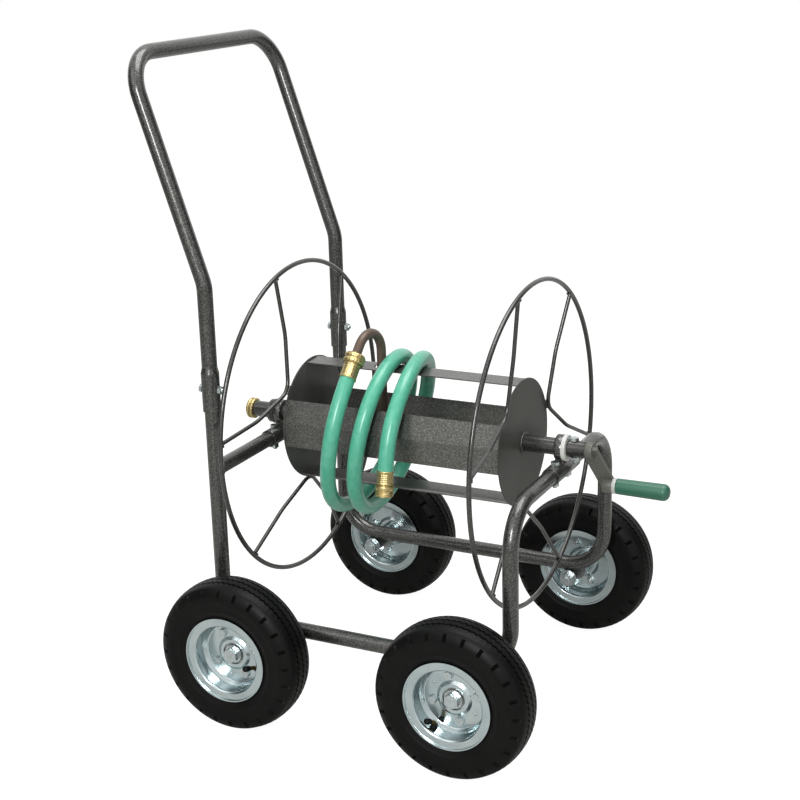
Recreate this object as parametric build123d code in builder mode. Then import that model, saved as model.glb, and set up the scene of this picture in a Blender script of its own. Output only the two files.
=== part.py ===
from build123d import *

"""Garden hose reel cart: four pneumatic wheels, bent-tube frame, crank-driven open reel.

Frame: +X runs along the reel axis toward the crank, -X is the push-handle end, +Z is up.
Pieces are drawn with x = 0 midway between the wheels. The finished cart is then moved along X,
so that its origin is on the ground under the middle of its overall length. Millimetres.
"""
import os
from math import atan2, cos, pi, radians, sin

os.makedirs("parts", exist_ok=True)

# ---------------------------------------------------------------- driving dimensions
# Frame tube (7/8 inch) and its bends.
tube_od = 22.2
tube_wall = 1.6
bend_radius = 62.0
weld_sink = 0.9                 # how far a welded piece bites into the tube that carries it
side_y = 190.0                  # side frame centre line from the middle plane
post_x = 228.0                  # front and rear posts
cross_z = 362.9                 # cross stretches that carry the reel supports
cross_gap = 10.0                # gap between the two cross stretches inside a sleeve
post_top = 508.0                # top of the rear posts, inside the handle

# Wheels, 2.80/2.50-4 on two-piece pressed rims.
tyre_od = 225.0
tyre_width = 63.0
tyre_wall = 5.5
bead_radius = 51.7
wheel_x = 173.0
wheel_y = 253.0
rim_sheet = 1.8
rim_flange_radius = 63.8
rim_flange_offset = 28.1
plate_radius = 43.5
boss_radius = 25.0
boss_rise = 3.2
hub_od = 33.0
hub_inboard = 38.0
hub_outboard = 3.5
hub_seat_clearance = 0.1
bearing_od = 28.6
bearing_length = 9.0
bearing_flange_od = 31.0
bearing_flange = 1.2
rim_bolt_circle = 33.5
rim_bolt_dia = 6.0
rim_bolt_count = 4
tread_groove_width = 3.6
tread_groove_depth = 3.0
tread_groove_offset = 11.5

# Axle bolts (1/2 inch) in bushes welded under the rails.
axle_dia = 12.7
axle_clearance = 0.2
axle_head_af = 19.0
axle_head = 8.5
axle_nut = 9.8
axle_bush_od = 22.2
axle_bush_inner = 181.0         # inboard end of a bush, from the middle plane
axle_bush_outer = 213.0
axle_washer = 2.5
axle_washer_od = 27.0
wheel_end_play = 0.3

# Reel supports.
sleeve_od = 26.4
sleeve_clearance = 0.4          # across the diameter, sleeve over tube
sleeve_half = 44.0
sleeve_bolt_y = 25.0
housing_od = 37.0
housing_length = 10.6
housing_bore = 30.0
bushing_flange_od = 38.0
bushing_flange = 5.6
bushing_clearance = 0.1
shaft_running_clearance = 0.2
housing_sink = 0.5

# Reel shaft and drum.
shaft_od = 24.4
shaft_bore = 19.0
shaft_rear = -272.0
shaft_front = 265.8
disc_radius = 92.8
disc_sheet = 2.0
disc_outer_x = 171.2
slat_sheet = 1.6
slat_centre_angle = 9.25        # of the near slat, up from the horizontal
slat_half_angle = 22.25
slat_count = 4
collar_length = 6.0
collar_od = 36.0
collar_gap = 0.15
shaft_weld = 3.0

# Ring flanges: a rod hoop on three bent V struts.
hoop_radius = 234.6
hoop_rod = 7.0
hoop_x = 189.1
strut_rod = 6.0
strut_count = 3
strut_first_angle = 40.0        # bisector of the first strut, from the near side upward
strut_half_angle = 34.0
strut_knee_out = 134.7
strut_knee_side = 69.1
strut_knee_radius = 106.0
strut_apex_radius = 27.0
strut_weld_angle = 45.0         # where a strut's apex touches the edge of its disc
strut_seat_gap = 0.1

# Water way.
swivel_od = 32.0
swivel_length = 12.0
swivel_neck = 20.4
swivel_flange = 25.8
swivel_lip = 1.8
swivel_play = 0.2
swivel_washer = 1.6
thread_bore = 26.2              # 3/4 inch garden hose thread, minor diameter
thread_relief = 0.7             # groove behind the thread, deeper than its minor diameter
gooseneck_od = 14.0
gooseneck_bore = 10.4
gooseneck_x = -53.0
gooseneck_rise = 114.0          # shaft axis to the start of the arch
gooseneck_radius = 33.0
gooseneck_sweep = 140.0
gooseneck_yaw = 5.0             # plane of the arch, turned from square with the shaft
gooseneck_tail = 12.0
slat_hole = 22.0
hose_od = 22.7
hose_lead = 50.0                # straight run out of the ferrule
coupling_nut_od = 31.0
coupling_nut_length = 15.0
ferrule_od = 25.6
ferrule_length = 23.0
male_nut_od = 27.0
male_thread_od = 26.4
male_length = 16.0

# Crank.
crank_wide = 25.4
crank_thick = 5.0
crank_offset = 3.0              # near face of the arm, from the shaft axis
crank_x = 258.0
crank_angle = 43.3              # fall of the arm below the horizontal, toward the far side
crank_reach = 116.0
crank_cap_length = 10.2
crank_stub_length = 30.0
crank_end_radius = 9.0
pivot_y = 64.7
pivot_drop = 72.4               # pivot below the shaft axis
pivot_boss_od = 23.0
pivot_boss_x = 269.3
grip_spacer = 5.9
grip_length = 78.0
grip_od_inner = 23.0
grip_od_outer = 24.6
grip_pin = 8.0
grip_pin_head = 12.0
grip_clearance = 0.3

# Push handle.
handle_bottom = 451.0
handle_swage_od = 26.2
handle_swage_top = 507.6
handle_taper = 8.0
handle_lean_z = 633.5
handle_top_x = -332.0
handle_top_z = 945.4
handle_lean_radius = 62.0
handle_corner_radius = 58.0
handle_bolt_z = 483.0

# Small bolts (1/4 inch).
bolt_dia = 6.0
bolt_hole = 6.6
bolt_head_af = 11.0
bolt_head = 4.2
bolt_nut = 5.4
bolt_tail = 2.5                 # thread left standing past a nut

# ---------------------------------------------------------------- derived sizes
tube_bore = tube_od - 2 * tube_wall
axle_z = tyre_od / 2
rail_z = axle_z + axle_bush_od / 2 + tube_od / 2 - weld_sink
sleeve_bore = tube_od + sleeve_clearance
reel_z = cross_z + sleeve_od / 2 + housing_od / 2 - housing_sink
housing_face = post_x + housing_length / 2
slat_radius = disc_radius - slat_sheet
disc_inner_x = disc_outer_x - disc_sheet
wheel_plate_y = wheel_y
front_end = crank_x + crank_wide + grip_spacer + grip_clearance + grip_length
rear_end = handle_top_x - tube_od / 2
to_origin = Location((-(front_end + rear_end) / 2, 0, 0))


def hexagon(plane, across_flats, height, bore=0.0):
    """Add a hexagonal head or nut that rises from a plane."""
    with BuildSketch(plane) as outline:
        RegularPolygon(across_flats / 2, 6, major_radius=False)
        if bore:
            Circle(bore / 2, mode=Mode.SUBTRACT)
    extrude(outline.sketch, amount=height)


def round_bar(plane, diameter, length, bore=0.0):
    """Add a round bar, tube or washer that rises from a plane."""
    with BuildSketch(plane) as outline:
        Circle(diameter / 2)
        if bore:
            Circle(bore / 2, mode=Mode.SUBTRACT)
    extrude(outline.sketch, amount=length)


def reel_plane(x, facing=1):
    """A plane square with the reel shaft, its normal along +X or -X."""
    return Plane(origin=(x, 0, reel_z), x_dir=(0, facing, 0), z_dir=(facing, 0, 0))


def around_reel(x, radius, angle):
    """A point at a radius from the shaft, the angle counted from the near side upward."""
    return (x, -radius * cos(radians(angle)), reel_z + radius * sin(radians(angle)))


# ---------------------------------------------------------------- side frames
with BuildPart() as near_side_frame:
    with BuildLine() as frame_line:
        FilletPolyline(
            (post_x, -cross_gap / 2, cross_z),
            (post_x, -side_y, cross_z),
            (post_x, -side_y, rail_z),
            (-post_x, -side_y, rail_z),
            (-post_x, -side_y, post_top),
            radius=bend_radius,
        )
    with BuildSketch(Plane(origin=frame_line.line @ 0, z_dir=frame_line.line % 0)):
        Circle(tube_od / 2)
        Circle(tube_bore / 2, mode=Mode.SUBTRACT)
    sweep(path=frame_line.line)
    # The rear cross stretch is a straight tube, coped and welded to the post.
    round_bar(
        Plane(origin=(-post_x, -side_y, cross_z), z_dir=(0, 1, 0)),
        tube_od, side_y - cross_gap / 2, tube_bore,
    )
    with BuildSketch(Plane(origin=(-post_x, -side_y, cross_z - tube_od))):
        Circle(tube_bore / 2)
    extrude(amount=2 * tube_od, mode=Mode.SUBTRACT)
    # Axle bushes under the rail.
    for x in (-wheel_x, wheel_x):
        round_bar(
            Plane(origin=(x, -axle_bush_inner, axle_z), z_dir=(0, -1, 0)),
            axle_bush_od, axle_bush_outer - axle_bush_inner,
        )
        with BuildSketch(Plane(origin=(x, -axle_bush_inner, axle_z), z_dir=(0, -1, 0))):
            Circle((axle_dia + axle_clearance) / 2)
        extrude(amount=axle_bush_outer - axle_bush_inner, mode=Mode.SUBTRACT)
    # Bolt holes: two for the reel supports, one for the push handle.
    for x in (-post_x, post_x):
        with BuildSketch(Plane(origin=(x, -sleeve_bolt_y, cross_z - tube_od))):
            Circle(bolt_hole / 2)
        extrude(amount=2 * tube_od, mode=Mode.SUBTRACT)
    with BuildSketch(Plane(origin=(-post_x - tube_od, -side_y, handle_bolt_z), z_dir=(1, 0, 0))):
        Circle(bolt_hole / 2)
    extrude(amount=2 * tube_od, mode=Mode.SUBTRACT)
near_side_frame.part.label = "near_side_frame"

with BuildPart() as far_side_frame:
    mirror(near_side_frame.part, about=Plane.XZ)
far_side_frame.part.label = "far_side_frame"

# ---------------------------------------------------------------- reel supports
with BuildPart() as front_support:
    # The bearing housing stands on the sleeve with a weld pad under it.
    with BuildSketch(reel_plane(post_x - housing_length / 2)):
        Circle(housing_od / 2)
        with Locations((0, -(housing_od + sleeve_od) / 4)):
            Rectangle(0.6 * housing_od, (housing_od + sleeve_od) / 2 - sleeve_od / 4)
    extrude(amount=housing_length)
    round_bar(Plane(origin=(post_x, -sleeve_half, cross_z), z_dir=(0, 1, 0)), sleeve_od, 2 * sleeve_half)
    with BuildSketch(reel_plane(post_x - housing_length / 2)):
        Circle(housing_bore / 2)
    extrude(amount=housing_length, mode=Mode.SUBTRACT)
    with BuildSketch(Plane(origin=(post_x, -sleeve_half, cross_z), z_dir=(0, 1, 0))):
        Circle(sleeve_bore / 2)
    extrude(amount=2 * sleeve_half, mode=Mode.SUBTRACT)
    with BuildSketch(Plane(origin=(post_x, 0, cross_z - sleeve_od))):
        with Locations((0, -sleeve_bolt_y), (0, sleeve_bolt_y)):
            Circle(bolt_hole / 2)
    extrude(amount=2 * sleeve_od, mode=Mode.SUBTRACT)
front_support.part.label = "front_support"

with BuildPart() as rear_support:
    mirror(front_support.part, about=Plane.YZ)
rear_support.part.label = "rear_support"

# A flanged plain bearing: its sleeve fills the housing, its flange bears on the outer face.
with BuildPart() as front_bushing:
    round_bar(reel_plane(housing_face, -1), housing_bore - bushing_clearance, housing_length)
    round_bar(reel_plane(housing_face), bushing_flange_od, bushing_flange)
    fillet(front_bushing.edges().filter_by(GeomType.CIRCLE).group_by(Axis.X)[-1], 1.6)
    with BuildSketch(reel_plane(housing_face + bushing_flange, -1)):
        Circle((shaft_od + shaft_running_clearance) / 2)
    extrude(amount=bushing_flange + housing_length, mode=Mode.SUBTRACT)
front_bushing.part.label = "front_bushing"

with BuildPart() as rear_bushing:
    mirror(front_bushing.part, about=Plane.YZ)
rear_bushing.part.label = "rear_bushing"

with BuildPart() as support_bolts:
    for x in (-post_x, post_x):
        for y in (-sleeve_bolt_y, sleeve_bolt_y):
            hexagon(Plane(origin=(x, y, cross_z + sleeve_od / 2)), bolt_head_af, bolt_head)
            round_bar(
                Plane(origin=(x, y, cross_z + sleeve_od / 2), z_dir=(0, 0, -1)),
                bolt_dia, sleeve_od + bolt_nut + bolt_tail,
            )
support_bolts.part.label = "support_bolts"

# ---------------------------------------------------------------- push handle
with BuildPart() as handle:
    with BuildLine() as handle_line:
        FilletPolyline(
            (-post_x, -side_y, handle_swage_top + handle_taper),
            (-post_x, -side_y, handle_lean_z),
            (handle_top_x, -side_y, handle_top_z),
            (handle_top_x, side_y, handle_top_z),
            (-post_x, side_y, handle_lean_z),
            (-post_x, side_y, handle_swage_top + handle_taper),
            radius=[handle_lean_radius, handle_corner_radius, handle_corner_radius, handle_lean_radius],
        )
    with BuildSketch(Plane(origin=handle_line.line @ 0, z_dir=handle_line.line % 0)):
        Circle(tube_od / 2)
        Circle(tube_bore / 2, mode=Mode.SUBTRACT)
    sweep(path=handle_line.line)
    # Each leg ends in a swaged socket that slips over its post.
    for y in (-side_y, side_y):
        with BuildSketch(Plane(origin=(-post_x, y, 0), x_dir=(1, 0, 0), z_dir=(0, -1, 0))):
            Polygon(
                (sleeve_bore / 2, handle_bottom),
                (handle_swage_od / 2, handle_bottom),
                (handle_swage_od / 2, handle_swage_top),
                (tube_od / 2, handle_swage_top + handle_taper),
                (tube_bore / 2, handle_swage_top + handle_taper),
                (tube_bore / 2, handle_swage_top + handle_taper / 2),
                (sleeve_bore / 2, handle_swage_top + handle_taper / 4),
                align=None,
            )
        revolve(axis=Axis((-post_x, y, 0), (0, 0, 1)))
        with BuildSketch(Plane(origin=(-post_x - tube_od, y, handle_bolt_z), z_dir=(1, 0, 0))):
            Circle(bolt_hole / 2)
        extrude(amount=2 * tube_od, mode=Mode.SUBTRACT)
handle.part.label = "handle"

with BuildPart() as handle_bolts:
    for y in (-side_y, side_y):
        head_seat = Plane(origin=(-post_x - handle_swage_od / 2, y, handle_bolt_z), z_dir=(-1, 0, 0))
        hexagon(head_seat, bolt_head_af, bolt_head)
        shank = Plane(origin=head_seat.origin, z_dir=(1, 0, 0))
        round_bar(shank, bolt_dia, handle_swage_od + bolt_nut + bolt_tail)
handle_bolts.part.label = "handle_bolts"

# The support bolts and the handle bolts take the same nut.
with BuildPart() as frame_nuts:
    for x in (-post_x, post_x):
        for y in (-sleeve_bolt_y, sleeve_bolt_y):
            nut_seat = Plane(origin=(x, y, cross_z - sleeve_od / 2), z_dir=(0, 0, -1))
            hexagon(nut_seat, bolt_head_af, bolt_nut, bolt_dia)
    for y in (-side_y, side_y):
        nut_seat = Plane(origin=(-post_x + handle_swage_od / 2, y, handle_bolt_z), z_dir=(1, 0, 0))
        hexagon(nut_seat, bolt_head_af, bolt_nut, bolt_dia)
frame_nuts.part.label = "frame_nuts"

# ---------------------------------------------------------------- axle bolts
washer_outer_y = wheel_plate_y + hub_outboard + wheel_end_play
head_seat_y = washer_outer_y + axle_washer
spacer_length = wheel_plate_y - hub_inboard - wheel_end_play - axle_bush_outer

with BuildPart() as axle_bolts:
    for x in (-wheel_x, wheel_x):
        for side in (-1, 1):
            head_seat = Plane(origin=(x, side * head_seat_y, axle_z), z_dir=(0, side, 0))
            hexagon(head_seat, axle_head_af, axle_head)
            shank = Plane(origin=head_seat.origin, z_dir=(0, -side, 0))
            reach = head_seat_y - axle_bush_inner + axle_washer + axle_nut + bolt_tail
            round_bar(shank, axle_dia, reach)
    chamfer(
        axle_bolts.edges().filter_by(GeomType.CIRCLE).filter_by(
            lambda edge: abs(edge.center().Y) < axle_bush_inner
        ),
        0.8,
    )
axle_bolts.part.label = "axle_bolts"

with BuildPart() as axle_nuts:
    for x in (-wheel_x, wheel_x):
        for side in (-1, 1):
            nut_seat_y = axle_bush_inner - axle_washer
            nut_seat = Plane(origin=(x, side * nut_seat_y, axle_z), z_dir=(0, -side, 0))
            hexagon(nut_seat, axle_head_af, axle_nut, axle_dia)
axle_nuts.part.label = "axle_nuts"

# Outer washer under the head, spacer between hub and bush, inner washer under the nut.
with BuildPart() as axle_washers:
    washer_bore = axle_dia + axle_clearance
    for x in (-wheel_x, wheel_x):
        for side in (-1, 1):
            outward = (0, side, 0)
            washer_seat = Plane(origin=(x, side * washer_outer_y, axle_z), z_dir=outward)
            round_bar(washer_seat, axle_washer_od, axle_washer, washer_bore)
            spacer_seat = Plane(origin=(x, side * axle_bush_outer, axle_z), z_dir=outward)
            round_bar(spacer_seat, axle_bush_od, spacer_length, washer_bore)
            nut_washer_y = side * (axle_bush_inner - axle_washer)
            nut_washer_seat = Plane(origin=(x, nut_washer_y, axle_z), z_dir=outward)
            round_bar(nut_washer_seat, axle_washer_od, axle_washer, washer_bore)
axle_washers.part.label = "axle_washers"

# ---------------------------------------------------------------- wheel, about its own axis
# Local +Z points outboard and z = 0 is the joint between the two rim halves.
tyre_radius = tyre_od / 2
half_width = tyre_width / 2
bead_face = rim_flange_offset - rim_sheet - hub_seat_clearance
bead_width = 7.5
bead_chamfer = 2.5

with BuildPart() as tyre:
    with BuildSketch(Plane.XZ):
        with BuildLine():
            crown = ThreePointArc(
                (tyre_radius, 0), (tyre_radius - 0.6, 0.38 * half_width), (tyre_radius - 2.6, 0.74 * half_width)
            )
            shoulder = ThreePointArc(
                crown @ 1, (tyre_radius - 9.5, 0.93 * half_width), (tyre_radius - 29, half_width)
            )
            side = ThreePointArc(
                shoulder @ 1, (bead_radius + 20, 0.96 * half_width), (bead_radius + 13, bead_face + 1.2)
            )
            Polyline(
                side @ 1,
                (bead_radius + 10, bead_face),
                (bead_radius + bead_chamfer, bead_face),
                (bead_radius, bead_face - bead_chamfer),
                (bead_radius, bead_face - bead_width),
                (bead_radius + 8, bead_face - bead_width + 1.5),
            )
            inner_side = ThreePointArc(
                (bead_radius + 8, bead_face - bead_width + 1.5),
                (tyre_radius - 29, half_width - tyre_wall),
                (tyre_radius - 12, 0.68 * half_width),
            )
            ThreePointArc(
                inner_side @ 1,
                (tyre_radius - 8.6, 0.38 * half_width),
                (tyre_radius - 7.5, 0),
            )
            Line((tyre_radius - 7.5, 0), (tyre_radius, 0))
        make_face()
        mirror(about=Plane.XZ)
        # Grooves that run round the tread.
        for offset_from_middle in (-tread_groove_offset, 0, tread_groove_offset):
            with Locations((tyre_radius, offset_from_middle)):
                Rectangle(2 * tread_groove_depth, tread_groove_width, mode=Mode.SUBTRACT)
    revolve(axis=Axis.Z)


def rim_half(outward):
    """Add one pressed half of the rim; outward is +1 for the outer half, -1 for the inner."""
    middle = rim_sheet / 2
    barrel = bead_radius - middle
    with BuildSketch(Plane.XZ) as profile:
        with BuildLine() as section:
            FilletPolyline(
                (hub_od / 2 + hub_seat_clearance, outward * (middle + boss_rise)),
                (boss_radius - 4, outward * (middle + boss_rise)),
                (boss_radius + 0.5, outward * middle),
                (plate_radius + 2, outward * middle),
                (barrel, outward * (middle + 7)),
                (barrel, outward * (rim_flange_offset - middle)),
                (rim_flange_radius - middle, outward * (rim_flange_offset - middle)),
                (rim_flange_radius - middle, outward * (rim_flange_offset + 2.2)),
                radius=[1.2, 1.2, 3.0, 3.0, 3.0, 1.4],
            )
        trace(section.line, rim_sheet)
    revolve(profile.sketch, axis=Axis.Z)
    with BuildSketch(Plane.XY.offset(-2 * rim_sheet)) as bolt_holes:
        with PolarLocations(rim_bolt_circle, rim_bolt_count):
            Circle(rim_bolt_dia / 2)
    extrude(bolt_holes.sketch, amount=4 * rim_sheet, mode=Mode.SUBTRACT)


with BuildPart() as outer_rim:
    rim_half(1)
    # Hole in the barrel for the tyre valve.
    with BuildSketch(Plane(origin=(0, 0, 15), x_dir=(0, 0, 1), z_dir=(cos(pi / 4), sin(pi / 4), 0))):
        Circle(4.2)
    extrude(amount=rim_flange_radius, mode=Mode.SUBTRACT)

with BuildPart() as inner_rim:
    rim_half(-1)

with BuildPart() as hub:
    hub_start = Plane.XY.offset(-(hub_inboard - bearing_flange))
    hub_length = hub_inboard + hub_outboard - 2 * bearing_flange
    round_bar(hub_start, hub_od, hub_length, axle_dia + 4)
    for end in (hub_start, hub_start.offset(hub_length - bearing_length)):
        with BuildSketch(end):
            Circle(bearing_od / 2)
        extrude(amount=bearing_length, mode=Mode.SUBTRACT)

with BuildPart() as bearings:
    bearing_bore = axle_dia + axle_clearance
    outer_face = Plane.XY.offset(hub_outboard)
    inner_face = Plane(origin=(0, 0, -hub_inboard), z_dir=(0, 0, -1))
    for face in (outer_face, inner_face):
        round_bar(face.offset(-bearing_flange), bearing_flange_od, bearing_flange, bearing_bore)
        round_bar(
            face.offset(-bearing_flange - bearing_length), bearing_od - hub_seat_clearance,
            bearing_length, bearing_bore,
        )

with BuildPart() as rim_fasteners:
    bolt_shank = 2 * rim_sheet + bolt_nut + bolt_tail
    for turn in range(rim_bolt_count):
        angle = 2 * pi * turn / rim_bolt_count
        spot = (rim_bolt_circle * cos(angle), rim_bolt_circle * sin(angle))
        hexagon(Plane(origin=(*spot, rim_sheet)), bolt_head_af, bolt_head)
        round_bar(
            Plane(origin=(*spot, rim_sheet), z_dir=(0, 0, -1)),
            rim_bolt_dia - hub_seat_clearance, bolt_shank,
        )
        nut_seat = Plane(origin=(*spot, -rim_sheet), z_dir=(0, 0, -1))
        hexagon(nut_seat, bolt_head_af, bolt_nut, rim_bolt_dia)

# Bent brass valve stem out of the barrel, with a black cap.
with BuildPart() as valve_stem:
    radial = (cos(pi / 4), sin(pi / 4))
    foot = 54.0
    knee = 42.0
    knee_z = 15.0
    tip = (radial[0] * 38.0, radial[1] * 38.0, 27.0)
    with BuildLine() as stem_line:
        FilletPolyline(
            (radial[0] * foot, radial[1] * foot, knee_z),
            (radial[0] * knee, radial[1] * knee, knee_z),
            tip,
            radius=4.0,
        )
    with BuildSketch(Plane(origin=stem_line.line @ 0, z_dir=stem_line.line % 0)):
        Circle(3.0)
    sweep(path=stem_line.line)
    cap_plane = Plane(origin=stem_line.line @ 1, z_dir=stem_line.line % 1)
    round_bar(cap_plane, 8.4, 9.0)

wheel_pieces = {
    "tyre": tyre,
    "outer_rim": outer_rim,
    "inner_rim": inner_rim,
    "hub": hub,
    "bearings": bearings,
    "rim_fasteners": rim_fasteners,
    "valve_stem": valve_stem,
}
# Each corner: place along X, side, and how far the wheel is turned about its axle.
wheel_corners = {
    "near_front": (wheel_x, -1, -166.0),
    "near_rear": (-wheel_x, -1, -59.0),
    "far_front": (wheel_x, 1, 20.0),
    "far_rear": (-wheel_x, 1, 75.0),
}
for corner, (x, side, turn) in wheel_corners.items():
    spoke = (cos(radians(turn)), 0, sin(radians(turn)))
    wheel_plane = Plane(origin=(x, side * wheel_y, axle_z), x_dir=spoke, z_dir=(0, side, 0))
    for piece_name, piece in wheel_pieces.items():
        placed = piece.part.moved(to_origin * wheel_plane.location)
        placed.label = f"{corner}_{piece_name}"
        export_step(placed, f"parts/{placed.label}.step")

# ---------------------------------------------------------------- reel drum
with BuildPart() as front_disc:
    round_bar(reel_plane(disc_inner_x), 2 * disc_radius, disc_sheet, shaft_od)
    # Weld bead round the shaft.
    bead_seat = Plane(origin=(disc_outer_x, 0, reel_z), x_dir=(1, 0, 0), z_dir=(0, -1, 0))
    with BuildSketch(bead_seat):
        Polygon(
            (0, shaft_od / 2), (0, shaft_od / 2 + shaft_weld), (shaft_weld, shaft_od / 2), align=None
        )
    revolve(axis=Axis((0, 0, reel_z), (1, 0, 0)))
front_disc.part.label = "front_disc"

with BuildPart() as rear_disc:
    mirror(front_disc.part, about=Plane.YZ)
rear_disc.part.label = "rear_disc"

# Four bent slats between the discs; the riser passes through a hole in the top one.
with BuildPart() as drum_slats:
    with BuildSketch(reel_plane(-disc_inner_x)):
        for slat in range(slat_count):
            middle_angle = slat_centre_angle + slat * 360 / slat_count
            corners = []
            for angle in (
                middle_angle - slat_half_angle,
                middle_angle,
                middle_angle + slat_half_angle,
            ):
                corners.append((-slat_radius * cos(radians(angle)), slat_radius * sin(radians(angle))))
            with BuildLine() as slat_section:
                FilletPolyline(*corners, radius=10)
            trace(slat_section.line, slat_sheet)
    extrude(amount=2 * disc_inner_x)
    with BuildSketch(Plane(origin=(gooseneck_x, 0, reel_z))):
        Circle(slat_hole / 2)
    extrude(amount=disc_radius, mode=Mode.SUBTRACT)
drum_slats.part.label = "drum_slats"

# ---------------------------------------------------------------- ring flanges
with BuildPart() as front_flange:
    with BuildSketch(Plane(origin=(hoop_x, 0, reel_z), x_dir=(1, 0, 0), z_dir=(0, -1, 0))):
        with Locations((0, hoop_radius)):
            Circle(hoop_rod / 2)
    revolve(axis=Axis((0, 0, reel_z), (1, 0, 0)))
    strut_end = hoop_radius - hoop_rod / 2
    strut_reach = strut_rod / 2 + strut_seat_gap
    strut_apex_x = disc_outer_x + strut_reach * sin(radians(strut_weld_angle))
    apex_seat = disc_radius + strut_reach * cos(radians(strut_weld_angle))
    # The rounded apex stands out from the corner of its two legs, so the corner moves in.
    strut_apex_out = apex_seat
    for _ in range(6):
        leg_angle = atan2(strut_knee_side, strut_knee_out - strut_apex_out)
        strut_apex_out = apex_seat - strut_apex_radius * (1 / sin(leg_angle) - 1)
    knee_share = (hoop_radius * cos(radians(strut_half_angle)) - strut_knee_out) / (
        hoop_radius * cos(radians(strut_half_angle)) - strut_apex_out
    )
    knee_x = hoop_x + (strut_apex_x - hoop_x) * knee_share
    for strut in range(strut_count):
        bisector = radians(strut_first_angle + strut * 360 / strut_count)
        along = Vector(0, -cos(bisector), sin(bisector))
        across = Vector(0, -sin(bisector), -cos(bisector))
        axis_point = Vector(0, 0, reel_z)

        def strut_point(x, out, side):
            """A point of this strut, out along its bisector and to one side of it."""
            return axis_point + Vector(x, 0, 0) + along * out + across * side

        end_out = strut_end * cos(radians(strut_half_angle))
        end_side = strut_end * sin(radians(strut_half_angle))
        with BuildLine() as strut_line:
            FilletPolyline(
                strut_point(hoop_x, end_out, end_side),
                strut_point(knee_x, strut_knee_out, strut_knee_side),
                strut_point(strut_apex_x, strut_apex_out, 0),
                strut_point(knee_x, strut_knee_out, -strut_knee_side),
                strut_point(hoop_x, end_out, -end_side),
                radius=[strut_knee_radius, strut_apex_radius, strut_knee_radius],
            )
        with BuildSketch(Plane(origin=strut_line.line @ 0, z_dir=strut_line.line % 0)):
            Circle(strut_rod / 2)
        sweep(path=strut_line.line)
front_flange.part.label = "front_flange"

with BuildPart() as rear_flange:
    mirror(front_flange.part, about=Plane.YZ)
rear_flange.part.label = "rear_flange"

# ---------------------------------------------------------------- reel shaft
# A pipe with a solid web past the riser: water enters at the rear, the crank plugs the front.
swivel_lip_start = shaft_rear - swivel_play
swivel_lip_end = swivel_lip_start - swivel_lip
water_end = gooseneck_x + gooseneck_od
crank_bolt_x = housing_face + bushing_flange + 9.0

with BuildPart() as reel_shaft:
    round_bar(reel_plane(shaft_rear), shaft_od, shaft_front - shaft_rear)
    # Neck and flange that hold the swivel nut.
    round_bar(reel_plane(shaft_rear, -1), swivel_neck, swivel_lip + 2 * swivel_play)
    round_bar(reel_plane(swivel_lip_end - swivel_play, -1), swivel_flange, swivel_lip)
    chamfer(reel_shaft.edges().filter_by(GeomType.CIRCLE).group_by(Axis.X)[-1], 0.8)
    water_way = swivel_neck - 6.0
    with BuildSketch(reel_plane(swivel_lip_end - swivel_play - swivel_lip)):
        Circle(water_way / 2)
    extrude(amount=swivel_lip * 2 + 3 * swivel_play, mode=Mode.SUBTRACT)
    with BuildSketch(reel_plane(shaft_rear)):
        Circle(shaft_bore / 2)
    extrude(amount=water_end - shaft_rear, mode=Mode.SUBTRACT)
    with BuildSketch(reel_plane(shaft_front, -1)):
        Circle(shaft_bore / 2)
    extrude(amount=shaft_front - water_end - shaft_bore, mode=Mode.SUBTRACT)
    with BuildSketch(Plane(origin=(gooseneck_x, 0, reel_z))):
        Circle((gooseneck_od + hub_seat_clearance) / 2)
    extrude(amount=shaft_od, mode=Mode.SUBTRACT)
    with BuildSketch(Plane(origin=(crank_bolt_x, 0, reel_z - shaft_od))):
        Circle(bolt_hole / 2)
    extrude(amount=2 * shaft_od, mode=Mode.SUBTRACT)
reel_shaft.part.label = "reel_shaft"

with BuildPart() as shaft_collar:
    collar_start = housing_face + bushing_flange + collar_gap
    round_bar(reel_plane(-collar_start, -1), collar_od, collar_length, shaft_od + hub_seat_clearance)
    chamfer(shaft_collar.edges().filter_by(GeomType.CIRCLE).group_by(SortBy.RADIUS)[-1], 0.8)
shaft_collar.part.label = "shaft_collar"


def ribbed_nut(plane, outer, length, bore, relief_length, lip, lip_hole):
    """Add a round nut with two rolled ribs; its lip end sits on the plane, the mouth faces away."""
    profile_plane = Plane(origin=plane.origin, x_dir=plane.x_dir, z_dir=-plane.y_dir)
    edge = outer / 2 - 1.6
    with BuildSketch(profile_plane) as profile:
        with BuildLine():
            first_rib = ThreePointArc((edge, 0), (outer / 2, length / 4), (edge + 0.5, length / 2))
            second_rib = ThreePointArc(first_rib @ 1, (outer / 2, 3 * length / 4), (edge, length))
            Polyline(
                second_rib @ 1, (bore / 2, length), (bore / 2, lip + relief_length),
                (bore / 2 + thread_relief, lip + relief_length), (bore / 2 + thread_relief, lip),
                (lip_hole / 2, lip), (lip_hole / 2, 0), (edge, 0),
            )
        make_face()
    revolve(profile.sketch, axis=Axis(plane.origin, plane.z_dir))


with BuildPart() as inlet_swivel:
    ribbed_nut(
        reel_plane(swivel_lip_start, -1), swivel_od, swivel_length, thread_bore,
        2 * swivel_play + swivel_lip + swivel_washer, swivel_lip,
        swivel_neck + 2 * hub_seat_clearance,
    )
inlet_swivel.part.label = "inlet_swivel"

# Rubber washer against the end of the shaft, inside the nut.
with BuildPart() as inlet_washer:
    washer_face = swivel_lip_end - swivel_play - swivel_lip
    round_bar(reel_plane(washer_face, -1), swivel_flange - 0.6, swivel_washer, water_way)
inlet_washer.part.label = "inlet_washer"

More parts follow.
